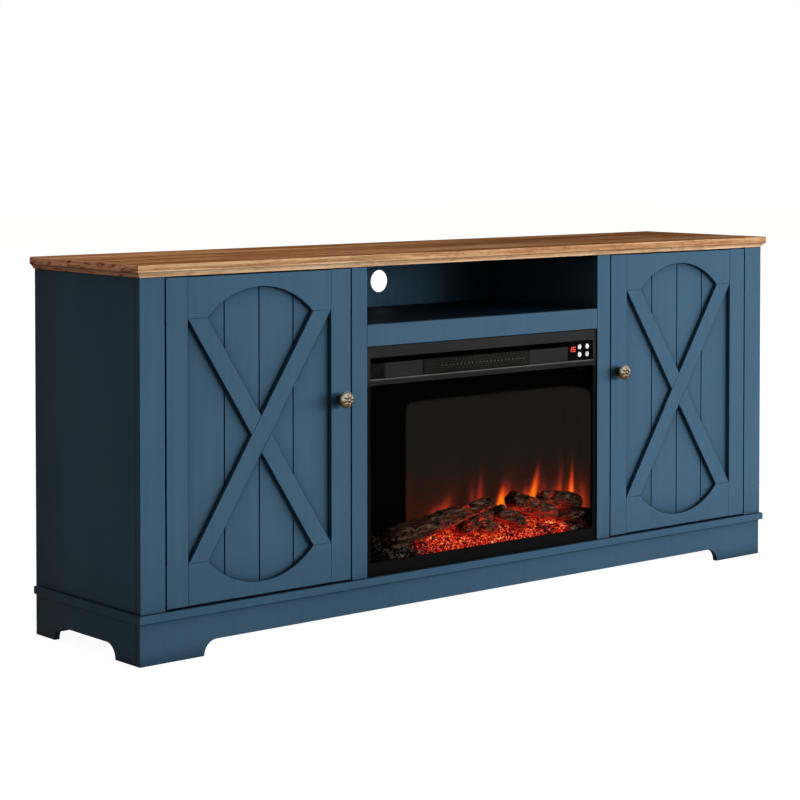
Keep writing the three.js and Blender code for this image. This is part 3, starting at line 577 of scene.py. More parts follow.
def top_wood():
    """Rustic oak foil: soft bands and thin streaks along the board, darker figure, and painted shade at its
    step. Its figure is strongest on its ends; painted shade darkens the top face towards the right, and
    painted light brightens the left end."""
    shader = Shader("top_wood")
    x, y, z = shader.axes
    end = facing_aside(shader)
    along = shader.add("ShaderNodeMix", {"Factor": end, "A": x, "B": y})
    across = shader.add("ShaderNodeMix", {"Factor": end, "A": y, "B": x})
    grain = shader.vector(along, across, z)
    bands = shader.noise((1.1, 12, 50), roughness=0.6, at=grain)
    streaks = shader.noise((3, 42, 210), detail=5, roughness=0.65, distortion=0.4, at=grain)
    fibres = shader.noise((36, 330, 330), roughness=0.7, at=grain)
    figure = shader.noise((15, 34, 62), distortion=1.8, at=grain)
    redness = shader.noise((0.8, 11, 26), at=grain)
    tone = bands.spread(0.4, 0.6, 0.0, 0.45) + streaks.spread(0.38, 0.62, 0.0, 0.4)
    base = shader.ramp(tone + fibres.spread(0.35, 0.65, 0.0, 0.15), [
        (0.1, (158, 115, 79)),
        (0.36, (205, 161, 119)),
        (0.6, (229, 189, 147)),
        (0.9, (244, 210, 175)),
    ])
    base = shader.mix(redness.spread(0.46, 0.62, 0.0, 0.6), base, (176, 118, 80))
    base = shader.mix(fibres.spread(0.56, 0.7, 0.0, 0.3), base, (128, 84, 54))
    base = shader.mix(figure.spread(0.46, 0.64) * end.spread(0.0, 1.0, 0.3, 0.85), base, (104, 68, 44))
    upper = shader.facing(Z_AXIS).spread(0.5, 0.9)
    low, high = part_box("top_board")
    base = shader.mix(upper, base, TOP_FACE_TINT, "MULTIPLY")
    # Painted shade darkening the top face towards the right
    base = shader.mix(upper, base, x.spread(low.x, high.x, 1.0, TOP_FACE_SHADE), "MULTIPLY")
    # Painted shade in the crease at the step, broken by the streaks
    from_step = abs(z - (high.z - TOP_BAND_HEIGHT))
    line = from_step.spread(0.0, 2 * TOP_STEP, 0.8, 0.0) * end.spread(0.0, 1.0, 1.0, 0.3)
    base = shader.mix(line * streaks.spread(0.35, 0.6, 0.4, 1.0), base, (116, 70, 44))
    # Painted light brightening the board's left end
    left_end = shader.facing(X_AXIS).spread(-0.8, -0.6, 1.0, 0.0)
    shader.finish({
        "Base Color": shader.mix(left_end, base, LEFT_END_PAINTED_LIGHT, "MULTIPLY"),
        "Roughness": fibres.spread(0.4, 0.7, 0.52, 0.68),
        "Specular IOR Level": 0.0,
        "Normal": shader.bump(streaks - fibres.spread(0.5, 0.75), *WOOD_RELIEF),
    })


def bronze():
    """Antique bronze: patina dark in its hollows, painted shade behind the head, and a painted reflection
    that is bright above and browner below.
    """
    shader = Shader("bronze")
    patina = shader.noise(260, detail=4, roughness=0.65)
    wear = shader.add("ShaderNodeNewGeometry", {}, output="Pointiness")
    # Painted reflection: bright on faces turned up, brown on faces turned down
    painted_reflection = shader.mix(shader.facing(Z_AXIS).spread(-0.12, 0.14), (100, 80, 50), (188, 179, 158))
    head_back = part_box("left_knob")[0].y + (1 - KNOB_HEAD_SHARES[-1][1]) * KNOB_PROJECTION
    # Painted shade on the neck and base behind the head
    behind = shader.axes[Y_AXIS].spread(head_back - KNOB_BASE_THICKNESS, head_back)
    hollow = wear.spread(0.49, 0.506, 1.0, 0.0) + patina.spread(0.5, 0.7, 0.0, 0.5)
    shader.finish({
        "Base Color": shader.mix(shader.largest(hollow, behind), painted_reflection, (38, 32, 24)),
        "Metallic": 1.0,
        "Roughness": patina.spread(0.3, 0.7, 0.18, 0.36),
        "Normal": shader.bump(patina, *GRAIN_RELIEF),
    })


def brushed_metal(name, colour, roughness):
    """Sheet or cast metal with fine drawn lines."""
    shader = Shader(name)
    lines = shader.noise((54, 900, 900))
    smudges = shader.noise(60)
    shader.finish({
        "Base Color": shader.mix(smudges.spread(0.3, 0.7, 0.0, 0.35), colour, (120, 122, 124)),
        "Metallic": 1.0,
        "Roughness": lines.spread(0.3, 0.7, roughness - 0.07, roughness + 0.07),
        "Normal": shader.bump(lines, *FINE_RELIEF),
    })


def hinge_steel():
    brushed_metal("hinge_steel", (205, 206, 208), 0.3)


def bright_aluminium():
    brushed_metal("bright_aluminium", (222, 224, 226), 0.25)


def dull_aluminium():
    brushed_metal("dull_aluminium", (88, 88, 86), 0.5)


def coating(name, colour, shade, roughness, gloss, grain_scale=900, darkened=None):
    """Powder coat or moulded plastic: a fine even grain and a slow change of tone."""
    shader = Shader(name)
    cloud = shader.noise(8)
    grain = shader.noise(grain_scale, detail=2, roughness=0.6)
    base = shader.mix(cloud.spread(0.3, 0.7), shade, colour)
    base = shader.mix(grain.spread(0.55, 0.8, 0.0, 0.3), base, colour, "SCREEN")
    if darkened:
        base = shader.mix(darkened(shader), base, BLACK_AND_SHADE_COLOUR)
    shader.finish({
        "Base Color": base,
        "Roughness": grain.spread(0.3, 0.7, roughness - 0.06, roughness + 0.06),
        "Specular IOR Level": gloss,
        "Normal": shader.bump(grain, *GRAIN_RELIEF),
    })


def trim_marks(shader):
    """The frame is black round the glass, dark on the ledge's face over it, and grey from there upwards."""
    z = shader.axes[Z_AXIS]
    face = z.spread(LEDGE_HEAD - LEDGE_EDGE, LEDGE_HEAD, LEDGE_SHADE, 0.0)
    return shader.largest(face, z.spread(LEDGE_FOOT - LEDGE_EDGE, LEDGE_FOOT, 1.0, 0.0))


def outlet_marks(shader):
    """Painted shade behind the perforated sheet and at the recess's left end, and a dark line round the
    sheet.
    """
    x = shader.axes[X_AXIS]
    middle, half = (GRILLE_LEFT + GRILLE_RIGHT) / 2, (GRILLE_RIGHT - GRILLE_LEFT) / 2
    aside = abs(x - middle)
    ragged = shader.noise((210, 1, 60), detail=2)
    # Painted shade at the left end of the recess, ragged at its edge
    left_shade = x.spread(LEFT_SHADE_END - LEFT_SHADE_SOFTNESS, LEFT_SHADE_END, 1.0, 0.0)
    return shader.largest(
        # Painted shade behind the perforated sheet
        aside.spread(half, half + GRILLE_RIM, 1.0, 0.0),
        left_shade * ragged.spread(0.36, 0.48, 0.7, 1.0),
        abs(aside - (half + GRILLE_RIM)).spread(0.0, GRILLE_RIM, 1.0, 0.0),
    )


def black_metal(name, darkened=None):
    coating(name, (42, 42, 42), (36, 36, 36), 0.5, 0.04, darkened=darkened)


def outlet_metal():
    coating("outlet_metal", (39, 39, 39), (34, 34, 34), 0.5, 0.04, darkened=outlet_marks)


# Near black for the strip of painted shadow under the outlet's top
def shadow_black_metal():
    coating("shadow_black_metal", (2, 2, 2), (1, 1, 1), 0.6, 0.0)


# Light grey whose brightness is a painted highlight, for the outlet's lip
def highlight_grey_metal():
    coating("highlight_grey_metal", (92, 92, 92), (78, 78, 78), 0.4, 0.1)


def grille_metal():
    coating("grille_metal", (38, 38, 36), (29, 29, 28), 0.5, 0.02)


def stud_brass():
    coating("stud_brass", (108, 103, 80), (90, 86, 66), 0.5, 0.05, 1100)


def black_plastic():
    coating("black_plastic", (7, 6, 7), (3, 3, 4), 0.2, 0.01, 1400)


def white_plastic():
    """Moulded white push buttons, with a grey shading of use and a fine grain."""
    shader = Shader("white_plastic")
    grain = shader.noise(1100, detail=2)
    cloud = shader.noise(160)
    shader.finish({
        "Base Color": shader.mix(cloud.spread(0.35, 0.65), (214, 216, 226), (240, 241, 246)),
        "Roughness": grain.spread(0.3, 0.7, 0.3, 0.42),
        "Specular IOR Level": 0.3,
        "Normal": shader.bump(grain, *FINE_RELIEF),
    })


def front_glass():
    """Dark clear glass. A haze of dust varies its tone and its gloss."""
    shader = Shader("front_glass")
    dust = shader.noise(35, detail=5, roughness=0.7)
    shader.finish({
        "Base Color": shader.mix(dust.spread(0.4, 0.8), (1, 1, 1), (3, 3, 3)),
        "Roughness": dust.spread(0.4, 0.8, 0.01, 0.04),
        "Specular IOR Level": 0.05,
        "Alpha": 0.08,
    })


def flame_glow(shader, across, z, flames):
    """The flames' brightness at a place, where across runs along the surface and z is the height."""
    flicker = shader.noise(26, detail=2, at=shader.vector(across, 0.0, z))
    swayed = across + (flicker - 0.5) * FLAME_SWAY
    glows = []
    for flame in flames:
        rise = (z - flame.foot) / flame.height
        offset = swayed - (rise * flame.lean + flame.x)
        distance = offset / rise.spread(0.0, 1.1, flame.width, flame.width / 2)
        falloff = shader.maths("EXPONENT", distance * distance * -1)
        glows.append(rise.spread(0.0, 1.05, flame.heat, 0.0) * falloff)
    return sum(glows)


def flame_colour(shader, glow):
    return shader.ramp(glow, [
        (0.0, BLACK),
        (0.18, (44, 11, 6)),
        (0.38, (112, 27, 12)),
        (0.6, (196, 54, 14)),
        (0.8, (248, 92, 12)),
        (1.0, (255, 142, 8)),
    ])


def picture_mask(shader, across, z, edge):
    """1 inside the picture, which starts at an edge with a round upper corner, and 0 in the black by it."""
    before = shader.largest(edge + PICTURE_CORNER - across, 0.0)
    above = shader.largest(z - (PICTURE_TOP - PICTURE_CORNER), 0.0)
    from_corner = shader.maths("SQRT", before * before + above * above)
    return from_corner.spread(PICTURE_CORNER - PICTURE_SOFTNESS, PICTURE_CORNER, 1.0, 0.0)


def fire_picture(name, axis, flames, edge):
    """A surface that shows the fire: a dim wall with soft flames low down, and black outside the picture.
    The axis is the one that runs along the surface."""
    shader = Shader(name)
    across, z = shader.axes[axis], shader.axes[Z_AXIS]
    veil = shader.noise((14, 14, 3), detail=4, roughness=0.6)
    wall = shader.ramp(z.spread(*WALL_HEIGHTS), [
        (0.0, (66, 22, 12)),
        (0.2, (52, 23, 16)),
        (0.42, (36, 26, 20)),
        (0.75, (29, 27, 21)),
        (1.0, (26, 25, 21)),
    ])
    wall = shader.mix(veil.spread(0.35, 0.75, 0.0, 0.45), wall, (22, 19, 15))
    picture = shader.mix(1.0, wall, flame_colour(shader, flame_glow(shader, across, z, flames)), "ADD")
    shader.finish({
        "Base Color": (1, 1, 1),
        "Roughness": veil.spread(0.3, 0.7, 0.5, 0.6),
        "Specular IOR Level": 0.0,
        "Emission Color": shader.mix(picture_mask(shader, across, z, edge), BLACK, picture),
        "Emission Strength": 1.0,
    })


def ember_resin():
    """Crushed embers: bright grains with dark gaps, hotter in patches and cold at the firebox's two ends."""
    shader = Shader("ember_resin")
    x = shader.axes[X_AXIS]
    grains = shader.cells()
    gaps = shader.cells(feature="DISTANCE_TO_EDGE")
    tint = shader.split(shader.cells(output="Color"))[X_AXIS]
    patches = shader.noise(22, roughness=0.6)
    veins = shader.noise(130, detail=2, roughness=0.6, distortion=1.5)
    heat = patches.spread(0.35, 0.65, 0.1, 0.5) + tint * 0.4 + veins.spread(0.38, 0.66, -0.25, 0.35)
    heat *= gaps.spread(0.0, 0.16, 0.1, 1.0)
    heat *= x.spread(*EMBERS_LEFT_EDGE)
    heat *= x.spread(*EMBERS_RIGHT_EDGE, 1.0, 0.1)
    ash = shader.mix(veins.spread(0.54, 0.68), (11, 9, 8), (112, 107, 100))
    shader.finish({
        "Base Color": shader.mix(x.spread(*ASH_LEFT_EDGE, 1.0, 0.0), ash, (1, 1, 1)),
        "Roughness": grains.spread(0.1, 0.6, 0.45, 0.8),
        "Specular IOR Level": 0.03,
        "Emission Color": shader.ramp(heat, [
            (0.0, BLACK),
            (0.2, (76, 6, 3)),
            (0.45, (198, 26, 8)),
            (0.7, (250, 62, 18)),
            (0.9, (255, 126, 52)),
            (1.0, (255, 186, 108)),
        ]),
        "Emission Strength": 1.15,
        "Normal": shader.bump(grains, *FIRE_RELIEF),
    })


def log_resin():
    """Charred wood: brown with a fine lengthwise grain, glowing cracks, undersides lit by painted light from
    the embers, and specks of ash.
    """
    shader = Shader("log_resin")
    x = shader.axes[X_AXIS]
    grain = shader.noise((26, 125, 125), detail=6, roughness=0.7, distortion=0.8)
    blotches = shader.noise(34, roughness=0.6)
    specks = shader.noise(420, detail=2, roughness=0.8)
    bark = shader.ramp(grain, [
        (0.42, (4, 2, 2)),
        (0.53, (52, 33, 24)),
        (0.66, (120, 92, 74)),
    ])
    cracks = abs(grain - 0.43).spread(0.0, 0.03, 1.0, 0.0)
    # Painted light from the embers on the logs' undersides
    under = shader.facing(Z_AXIS).spread(-0.8, 0.1, 0.4, 0.0)
    heat = shader.largest(cracks * blotches.spread(0.46, 0.58), under)
    heat *= x.spread(*LOGS_LEFT_EDGE)
    heat *= x.spread(*LOGS_RIGHT_EDGE, 1.0, 0.0)
    shader.finish({
        "Base Color": shader.mix(specks.spread(0.66, 0.73, 0.0, 0.8), bark, (190, 180, 168)),
        "Roughness": grain.spread(0.3, 0.7, 0.6, 0.9),
        "Specular IOR Level": 0.04,
        "Emission Color": shader.ramp(heat, [
            (0.0, BLACK),
            (0.3, (96, 10, 5)),
            (0.7, (228, 46, 18)),
            (1.0, (255, 92, 40)),
        ]),
        "Emission Strength": 1.0,
        "Normal": shader.bump(grain, *FIRE_RELIEF),
    })


def display_light():
    """The display's lit strokes: red and a little uneven."""
    shader = Shader("display_light")
    unevenness = shader.noise(700, detail=2)
    shader.finish({
        "Base Color": (120, 8, 8),
        "Roughness": unevenness.spread(0.3, 0.7, 0.3, 0.5),
        "Emission Color": shader.mix(unevenness.spread(0.3, 0.7), (255, 40, 24), (255, 96, 70)),
        "Emission Strength": 1.0,
    })


# The blue paint and its copies, with painted shadow lines and painted shade in gaps, corners, grooves and
# along edges
finish_marks = {
    "blue_paint": carcass_marks,
    "door_paint": door_marks,
    "plank_paint": plank_marks,
    "edge_shade_paint": edge_marks,
}
for finish_name, marks in finish_marks.items():
    blue_paint(finish_name, marks)
inner_paint()
shaded_shelf_paint()
top_wood()
bronze()
hinge_steel()
bright_aluminium()
dull_aluminium()
black_metal("black_metal")
black_metal("trim_metal", trim_marks)
outlet_metal()
shadow_black_metal()
highlight_grey_metal()
grille_metal()
stud_brass()
black_plastic()
white_plastic()
front_glass()
fire_picture("screen_plastic", X_AXIS, FLAMES, PICTURE_LEFT)
# The liners show a painted reflection of the fire
fire_picture("liner_plastic", Y_AXIS, LINER_PAINTED_FLAME_REFLECTIONS, LINER_PICTURE_FRONT)
ember_resin()
log_resin()
display_light()


def new_object(name, data):
    """An object for its data, in the scene."""
    thing = bpy.data.objects.new(name, data)
    bpy.context.scene.collection.objects.link(thing)
    return thing


def add_piece(name, skin, finish, body=ROOT_BODY):
    """A piece from its skin's corners and faces, smooth but for its sharp edges, riding on a body."""
    mesh = bpy.data.meshes.new(name)
    vertices, faces = skin
    mesh.from_pydata([tuple(v) for v in vertices], [], faces)
    mesh.shade_smooth()
    mesh.set_sharp_from_angle(angle=SHARP_ANGLE)
    mesh.materials.append(finishes[finish])
    piece = new_object(name, mesh)
    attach(piece, body)
    return piece


def replace_node(node, skin, slot_name, body=ROOT_BODY):
    """Puts a finer piece in the place of a CAD node."""
    piece = add_piece(f"{node}_finish", skin, slot_name, body)
    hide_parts(node)


def welded(node):
    """A CAD node's corners and faces, with its flat faces whole again."""
    shape = bmesh.new()
    shape.from_mesh(frame["nodes"][node].data)
    bmesh.ops.remove_doubles(shape, verts=shape.verts, dist=WELD_DISTANCE)
    bmesh.ops.dissolve_limit(shape, angle_limit=FLAT_ANGLE, verts=shape.verts, edges=shape.edges)
    shape.verts.index_update()
    vertices = [v.co.copy() for v in shape.verts]
    faces = [[v.index for v in face.verts] for face in shape.faces]
    shape.free()
    return vertices, faces


def ease_edges(piece, width):
    bevel = piece.modifiers.new("eased_edges", "BEVEL")
    bevel.width = width
    bevel.segments = EASING_STEPS
    bevel.limit_method = "ANGLE"
    bevel.angle_limit = SHARP_ANGLE
    bevel.harden_normals = True


def dress(node, slot_name):
    """Puts an eased and finished copy in the place of a CAD node."""
    special = [finish for part_name, finish in PART_FINISHES if part_name in node]
    finish = special[0] if special else slot_name
    body = frame["nodes"][node]["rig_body"]
    piece = add_piece(f"{node}_finish", welded(node), finish, body)
    ease_edges(piece, EASED_CRISP_EDGE if slot_name in CRISP_SLOTS else EASED_EDGE)
    # A dark line of painted shade on the eased edges of these parts
    if any(part_name in node for part_name in OUTLINED_PARTS):
        piece.data.materials.append(finishes["edge_shade_paint"])
        piece.modifiers["eased_edges"].material = 1
    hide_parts(node)


def joined(skins):
    """The corners and faces of several skins as one."""
    vertices, faces = [], []
    for skin_vertices, skin_faces in skins:
        first = len(vertices)
        vertices += skin_vertices
        faces += [[first + corner for corner in face] for face in skin_faces]
    return vertices, faces


def ring_faces(rings, count):
    """The faces of a closed skin over rings of count points each, which turn left-handed about the way the
    rings follow one another."""
    faces = []
    for ring in range(rings - 1):
        for point in range(count):
            after = (point + 1) % count
            low, high = ring * count, (ring + 1) * count
            faces.append([low + point, high + point, high + after, low + after])
    faces.append(list(range(count)))
    faces.append(list(reversed(range((rings - 1) * count, rings * count))))
    return faces


def top_board_profile():
    """The board's edge from its top face down: how far in each ring lies, and how far below the top."""
    rings = []
    for step in range(TOP_ROUND_STEPS + 1):
        angle = math.pi / 2 * step / TOP_ROUND_STEPS
        rings.append((TOP_ROUND * (1 - math.sin(angle)), TOP_ROUND * (1 - math.cos(angle))))
    rings.append((0, TOP_BAND_HEIGHT - TOP_STEP))
    rings.append((TOP_STEP / 2, TOP_BAND_HEIGHT))
    low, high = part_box("top_board")
    bevel_in = TOP_OVERHANG - TOP_LIP - TOP_STEP
    bevel_down = high.z - low.z - TOP_BAND_HEIGHT - TOP_LIP
    for step in range(TOP_BEVEL_STEPS + 1):
        share = step / TOP_BEVEL_STEPS
        hollow = TOP_HOLLOW_SHARE * math.sin(math.pi * share)
        rings.append((TOP_STEP + bevel_in * (share + hollow), TOP_BAND_HEIGHT + bevel_down * share))
    rings.append((TOP_OVERHANG, high.z - low.z - TOP_LIP))
    rings.append((TOP_OVERHANG, high.z - low.z))
    return rings


def add_top_board():
    low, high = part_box("top_board")
    vertices = []
    profile = top_board_profile()
    for inset, drop in profile:
        z = high.z - drop
        vertices += [
            (low.x + inset, low.y + inset, z),
            (high.x - inset, low.y + inset, z),
            (high.x - inset, high.y, z),
            (low.x + inset, high.y, z),
        ]
    replace_node("top_board", (vertices, ring_faces(len(profile), 4)), "top_wood")


def knob_profile():
    """The knob's outline from its crown to the tip of its stud: radius and place along its axis."""
    profile = [(radius * KNOB_RADIUS, -reach * KNOB_PROJECTION) for radius, reach in KNOB_HEAD_SHARES]
    profile += [
        (KNOB_NECK_RADIUS, -2 * KNOB_BASE_THICKNESS - KNOB_NECK_RADIUS),
        (KNOB_NECK_RADIUS, -2 * KNOB_BASE_THICKNESS),
        (KNOB_BASE_RADIUS - KNOB_BASE_THICKNESS / 2, -1.4 * KNOB_BASE_THICKNESS),
        (KNOB_BASE_RADIUS, -KNOB_BASE_THICKNESS),
        (KNOB_BASE_RADIUS, -PIECE_GAP),
        (KNOB_STUD_RADIUS, -PIECE_GAP),
        (KNOB_STUD_RADIUS, KNOB_STUD_LENGTH),
    ]
    return profile


def petal_dip(radius, angle):
    """How far the petals' relief lowers the head at a place."""
    start, end = (share * KNOB_RADIUS for share in KNOB_PETAL_SPAN_SHARES)
    if not start < radius < end:
        return 0
    across = math.sin(math.pi * (radius - start) / (end - start))
    return KNOB_PETAL_DEPTH * across * (1 - abs(math.sin(KNOB_PETALS * angle / 2))) ** 2


def add_knob(side):
    node = f"{side}_knob"
    low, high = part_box(node)
    middle = (low + high) / 2
    front = low.y + KNOB_PROJECTION
    profile = knob_profile()
    vertices = []
    for radius, along in profile:
        in_head = along < -KNOB_FACE_SHARE * KNOB_PROJECTION
        for segment in range(KNOB_SEGMENTS):
            angle = 2 * math.pi * segment / KNOB_SEGMENTS
            dip = petal_dip(radius, angle) if in_head else 0
            vertices.append((
                middle.x + radius * math.cos(angle),
                front + along + dip,
                middle.z + radius * math.sin(angle),
            ))
    replace_node(node, (vertices, ring_faces(len(profile), KNOB_SEGMENTS)), "bronze", f"{side}_door")


def fire_place(shares):
    """A place in the firebox from its shares of the half width, depth and height."""
    glass_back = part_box("front_glass")[1].y
    x, y, z = shares
    return Vector((x * FIRE_HALF_WIDTH, glass_back + y * FIRE_DEPTH, FIRE_FLOOR + z * FIRE_HEIGHT))


def bark_height(place, offset):
    """The bark's relief: long ridges, at most 1 high, with breaks across them."""
    stretched = Vector((place.x / BARK_LENGTH, place.y / BARK_WIDTH, place.z / BARK_WIDTH)) + offset
    return 1 - BARK_SHARPNESS * abs(noise.fractal(stretched, *BARK_FRACTAL))


def log_stations(log, length):
    """The rings of a log's skin: how far along each lies, and its size beside the log's own. The ends are
    round."""
    angles = [math.pi / 2 * (step + 1 / 2) / LOG_END_STEPS for step in range(LOG_END_STEPS)]
    rounding = [(LOG_END_SHARE * math.cos(angle) / length, math.sin(angle)) for angle in angles]
    rings = max(4, round(length * LOG_RINGS_PER_METRE))
    stations = [(-log.start_radius * beyond, size) for beyond, size in rounding]
    stations += [(step / rings, 1) for step in range(rings + 1)]
    stations += [(1 + log.end_radius * beyond, size) for beyond, size in reversed(rounding)]
    return stations


def log_skin(index, log):
    """One log: a knobbly tapering round with rounded ends."""
    start, end = fire_place(log.start_shares), fire_place(log.end_shares)
    along = end - start
    forward = along.normalized()
    sideways = forward.cross(Vector((0, 0, 1))).normalized()
    upward = sideways.cross(forward)
    offset = Vector((index, 2 * index, 3 * index))
    stations = log_stations(log, along.length)
    spread = log.end_radius - log.start_radius
    vertices = []
    for share, end_size in stations:
        within = min(1, max(0, share))
        middle = start + along * share
        radius = (log.start_radius + spread * within) * (1 + LOG_BULGE_SHARE * math.sin(math.pi * within))
        for side in range(LOG_SIDES):
            angle = 2 * math.pi * side / LOG_SIDES
            outward = math.cos(angle) * sideways + math.sin(angle) * upward
            turn = 3 * share + index
            wave = (math.sin(3 * angle + turn) + math.sin(5 * angle - 2 * turn)) / 2
            skin = middle + outward * radius
            knot = LOG_KNOT_SHARE * noise.noise(skin / LOG_KNOT_LENGTH + offset)
            bark = LOG_BARK_SHARE * max(0, BARK_LEVEL - bark_height(skin, offset))
            size = radius * (1 + LOG_WAVE_SHARE * wave + knot - bark)
            vertices.append(middle + outward * size * end_size)
    return vertices, ring_faces(len(stations), LOG_SIDES)


def add_logs():
    replace_node("log_set", joined(log_skin(index, log) for index, log in enumerate(LOGS)), "log_resin")


def ember_height(x, y, low, high):
    """The bed's top over its floor: a slope from front to back with swells and crushed lumps."""
    back_share = (y - low.y) / (high.y - low.y)
    slope = (EMBER_BACK_HEIGHT - EMBER_FRONT_HEIGHT) * back_share
    along = x / EMBER_SWELL_LENGTH
    swell = math.sin(3 * along + 5 * back_share) * math.cos(along - 7 * back_share)
    distances, _ = noise.voronoi(Vector((x, y, 0)) / EMBER_LUMP_LENGTH)
    lump = EMBER_LUMP * (0.5 - distances[0])
    return EMBER_FRONT_HEIGHT + slope + EMBER_SWELL * swell + lump


def add_ember_bed():
    low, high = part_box("ember_bed")
    columns = round((high.x - low.x) / EMBER_GRID)
    rows = round((high.y - low.y) / EMBER_GRID)
    vertices = []
    for row in range(rows + 1):
        for column in range(columns + 1):
            x = low.x + (high.x - low.x) * column / columns
            y = low.y + (high.y - low.y) * row / rows
            vertices.append((x, y, min(high.z, low.z + ember_height(x, y, low, high))))
    faces = []
    for row in range(rows):
        for column in range(columns):
            corner = row * (columns + 1) + column
            faces.append([corner, corner + 1, corner + columns + 2, corner + columns + 1])
    front = list(range(columns + 1))
    right = [row * (columns + 1) + columns for row in range(1, rows + 1)]
    back = [rows * (columns + 1) + column for column in reversed(range(columns))]
    left = [row * (columns + 1) for row in reversed(range(1, rows))]
    border = front + right + back + left
    first = len(vertices)
    vertices += [(vertices[corner][0], vertices[corner][1], low.z) for corner in border]
    for step, corner in enumerate(border):
        after = (step + 1) % len(border)
        faces.append([corner, first + step, first + after, border[after]])
    faces.append([first + step for step in reversed(range(len(border)))])
    replace_node("ember_bed", (vertices, faces), "ember_resin")


def block(low, high):
    """A box's corners and faces."""
    vertices = [(x, y, z) for x in (low[0], high[0]) for y in (low[1], high[1]) for z in (low[2], high[2])]
    faces = [[0, 1, 3, 2], [4, 6, 7, 5], [0, 4, 5, 1], [2, 3, 7, 6], [0, 2, 6, 4], [1, 5, 7, 3]]
    return vertices, faces


def add_side_liners():
    """Thin polished liners on the firebox's inner sides, between the glass and the flame screen, which show
    a painted reflection of the fire.
    """
    glass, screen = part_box("front_glass"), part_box("flame_screen")
    for side, sign in (("left", -1), ("right", 1)):
        outer = sign * (FIRE_HALF_WIDTH - PIECE_GAP)
        inner = outer - sign * LINER_THICKNESS
        low = (min(outer, inner), glass[1].y + PIECE_GAP, LINER_FOOT)
        high = (max(outer, inner), screen[1].y, screen[1].z)
        add_piece(f"{side}_fire_liner", block(low, high), "liner_plastic")


def moulding(profile, left, right):
    """A bar of one profile along the width. The profile's y and z places turn from the front foot upwards."""
    vertices = [(x, y, z) for x in (left, right) for y, z in profile]
    return vertices, ring_faces(2, len(profile))


def rounded_profile(front, back, foot, head):
    """A bar's profile whose front is half round."""
    middle, radius = (foot + head) / 2, (head - foot) / 2
    bow = min(radius, back - front)
    points = [(back, foot)]
    for step in range(BAR_ROUND_STEPS + 1):
        angle = math.pi * step / BAR_ROUND_STEPS
        points.append((front + bow * (1 - math.sin(angle)), middle - radius * math.cos(angle)))
    return points + [(back, head)]


def add_outlet_bars():
    """A black strip of painted shadow along the outlet's top up to the control panel, and the lip along its
    ledge, whose light grey is a painted highlight.
    """
    panel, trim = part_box("outlet_panel"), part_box("front_trim_frame")
    half = WINDOW_HALF_WIDTH - PIECE_GAP
    back = panel[0].y - PIECE_GAP
    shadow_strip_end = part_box("control_panel")[0].x - PIECE_GAP
    shadow_strip = rounded_profile(back - SHADOW_STRIP_REACH, back, SHADOW_STRIP_FOOT, WINDOW_TOP - PIECE_GAP)
    lip = rounded_profile(trim[0].y - LIP_REACH, trim[0].y, LIP_FOOT, WINDOW_FOOT)
    # The black strip stands in for the shadow under the top band, as painted shadow
    add_piece("outlet_shadow_strip", moulding(shadow_strip, -half, shadow_strip_end), "shadow_black_metal")
    # The lip's light grey is a painted highlight
    add_piece("outlet_lip", moulding(lip, -half, half), "highlight_grey_metal")


def sheet_cell(column, row):
    """A cell of the perforated sheet: the points of its outline and of its hole, in half cells."""
    rim = [(1, 0), (1, 1), (0, 1), (-1, 1), (-1, 0), (-1, -1), (0, -1), (1, -1)]
    outline = [(2 * column + across, 2 * row + up) for across, up in rim]
    hole = []
    for across, up in rim:
        reach = math.hypot(across, up)
        size = GRILLE_HOLE_SHARE / reach
        hole.append((2 * column + size * across, 2 * row + size * up))
    return outline, hole


def add_grille():
    """The finely perforated sheet over the outlet's air holes, with its border all round closed."""
    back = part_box("outlet_panel")[0].y - PIECE_GAP
    front = back - GRILLE_THICKNESS
    half_x = (GRILLE_RIGHT - GRILLE_LEFT) / GRILLE_COLUMNS / 2
    half_z = (GRILLE_HEAD - GRILLE_FOOT) / GRILLE_ROWS / 2
    borders = ((-1, 2 * GRILLE_COLUMNS - 1), (-1, 2 * GRILLE_ROWS - 1))
    vertices, faces, numbers = [], [], {}

    def corner(place, y):
        key = (round(place[0], 4), round(place[1], 4), y)
        if key not in numbers:
            numbers[key] = len(vertices)
            vertices.append((GRILLE_LEFT + (place[0] + 1) * half_x, y, GRILLE_FOOT + (place[1] + 1) * half_z))
        return numbers[key]

    def wall(start, end):
        faces.append([corner(start, front), corner(end, front), corner(end, back), corner(start, back)])

    for column in range(GRILLE_COLUMNS):
        for row in range(GRILLE_ROWS):
            outline, hole = sheet_cell(column, row)
            for point, start in enumerate(outline):
                after = (point + 1) % len(outline)
                end, hole_end, hole_start = outline[after], hole[after], hole[point]
                faces.append([corner(place, front) for place in (end, hole_end, hole_start, start)])
                faces.append([corner(place, back) for place in (start, hole_start, hole_end, end)])
                wall(hole_start, hole_end)
                if any(start[axis] == end[axis] and start[axis] in borders[axis] for axis in range(2)):
                    wall(end, start)
    add_piece("outlet_grille", (vertices, faces), "grille_metal")


def stud_skin(stud):
    """A stud: a low oval boss with a bevelled top."""
    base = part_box("outlet_panel")[0].y - PIECE_GAP - GRILLE_THICKNESS
    middle = STUDS_LEFT + stud * STUD_PITCH
    vertices = []
    for size, rise in STUD_RINGS:
        for side in range(STUD_SIDES):
            angle = -2 * math.pi * side / STUD_SIDES
            x = middle + size * STUD_HALF_LENGTH * math.cos(angle)
            z = STUDS_MIDDLE + size * STUD_HALF_WIDTH * math.sin(angle)
            vertices.append((x, base - rise * STUD_HEIGHT, z))
    return vertices, ring_faces(len(STUD_RINGS), STUD_SIDES)


def add_studs():
    """The row of small bright studs across the middle of the perforated sheet."""
    studs = joined(stud_skin(stud) for stud in range(STUD_COUNT))
    add_piece("outlet_studs", studs, "stud_brass")


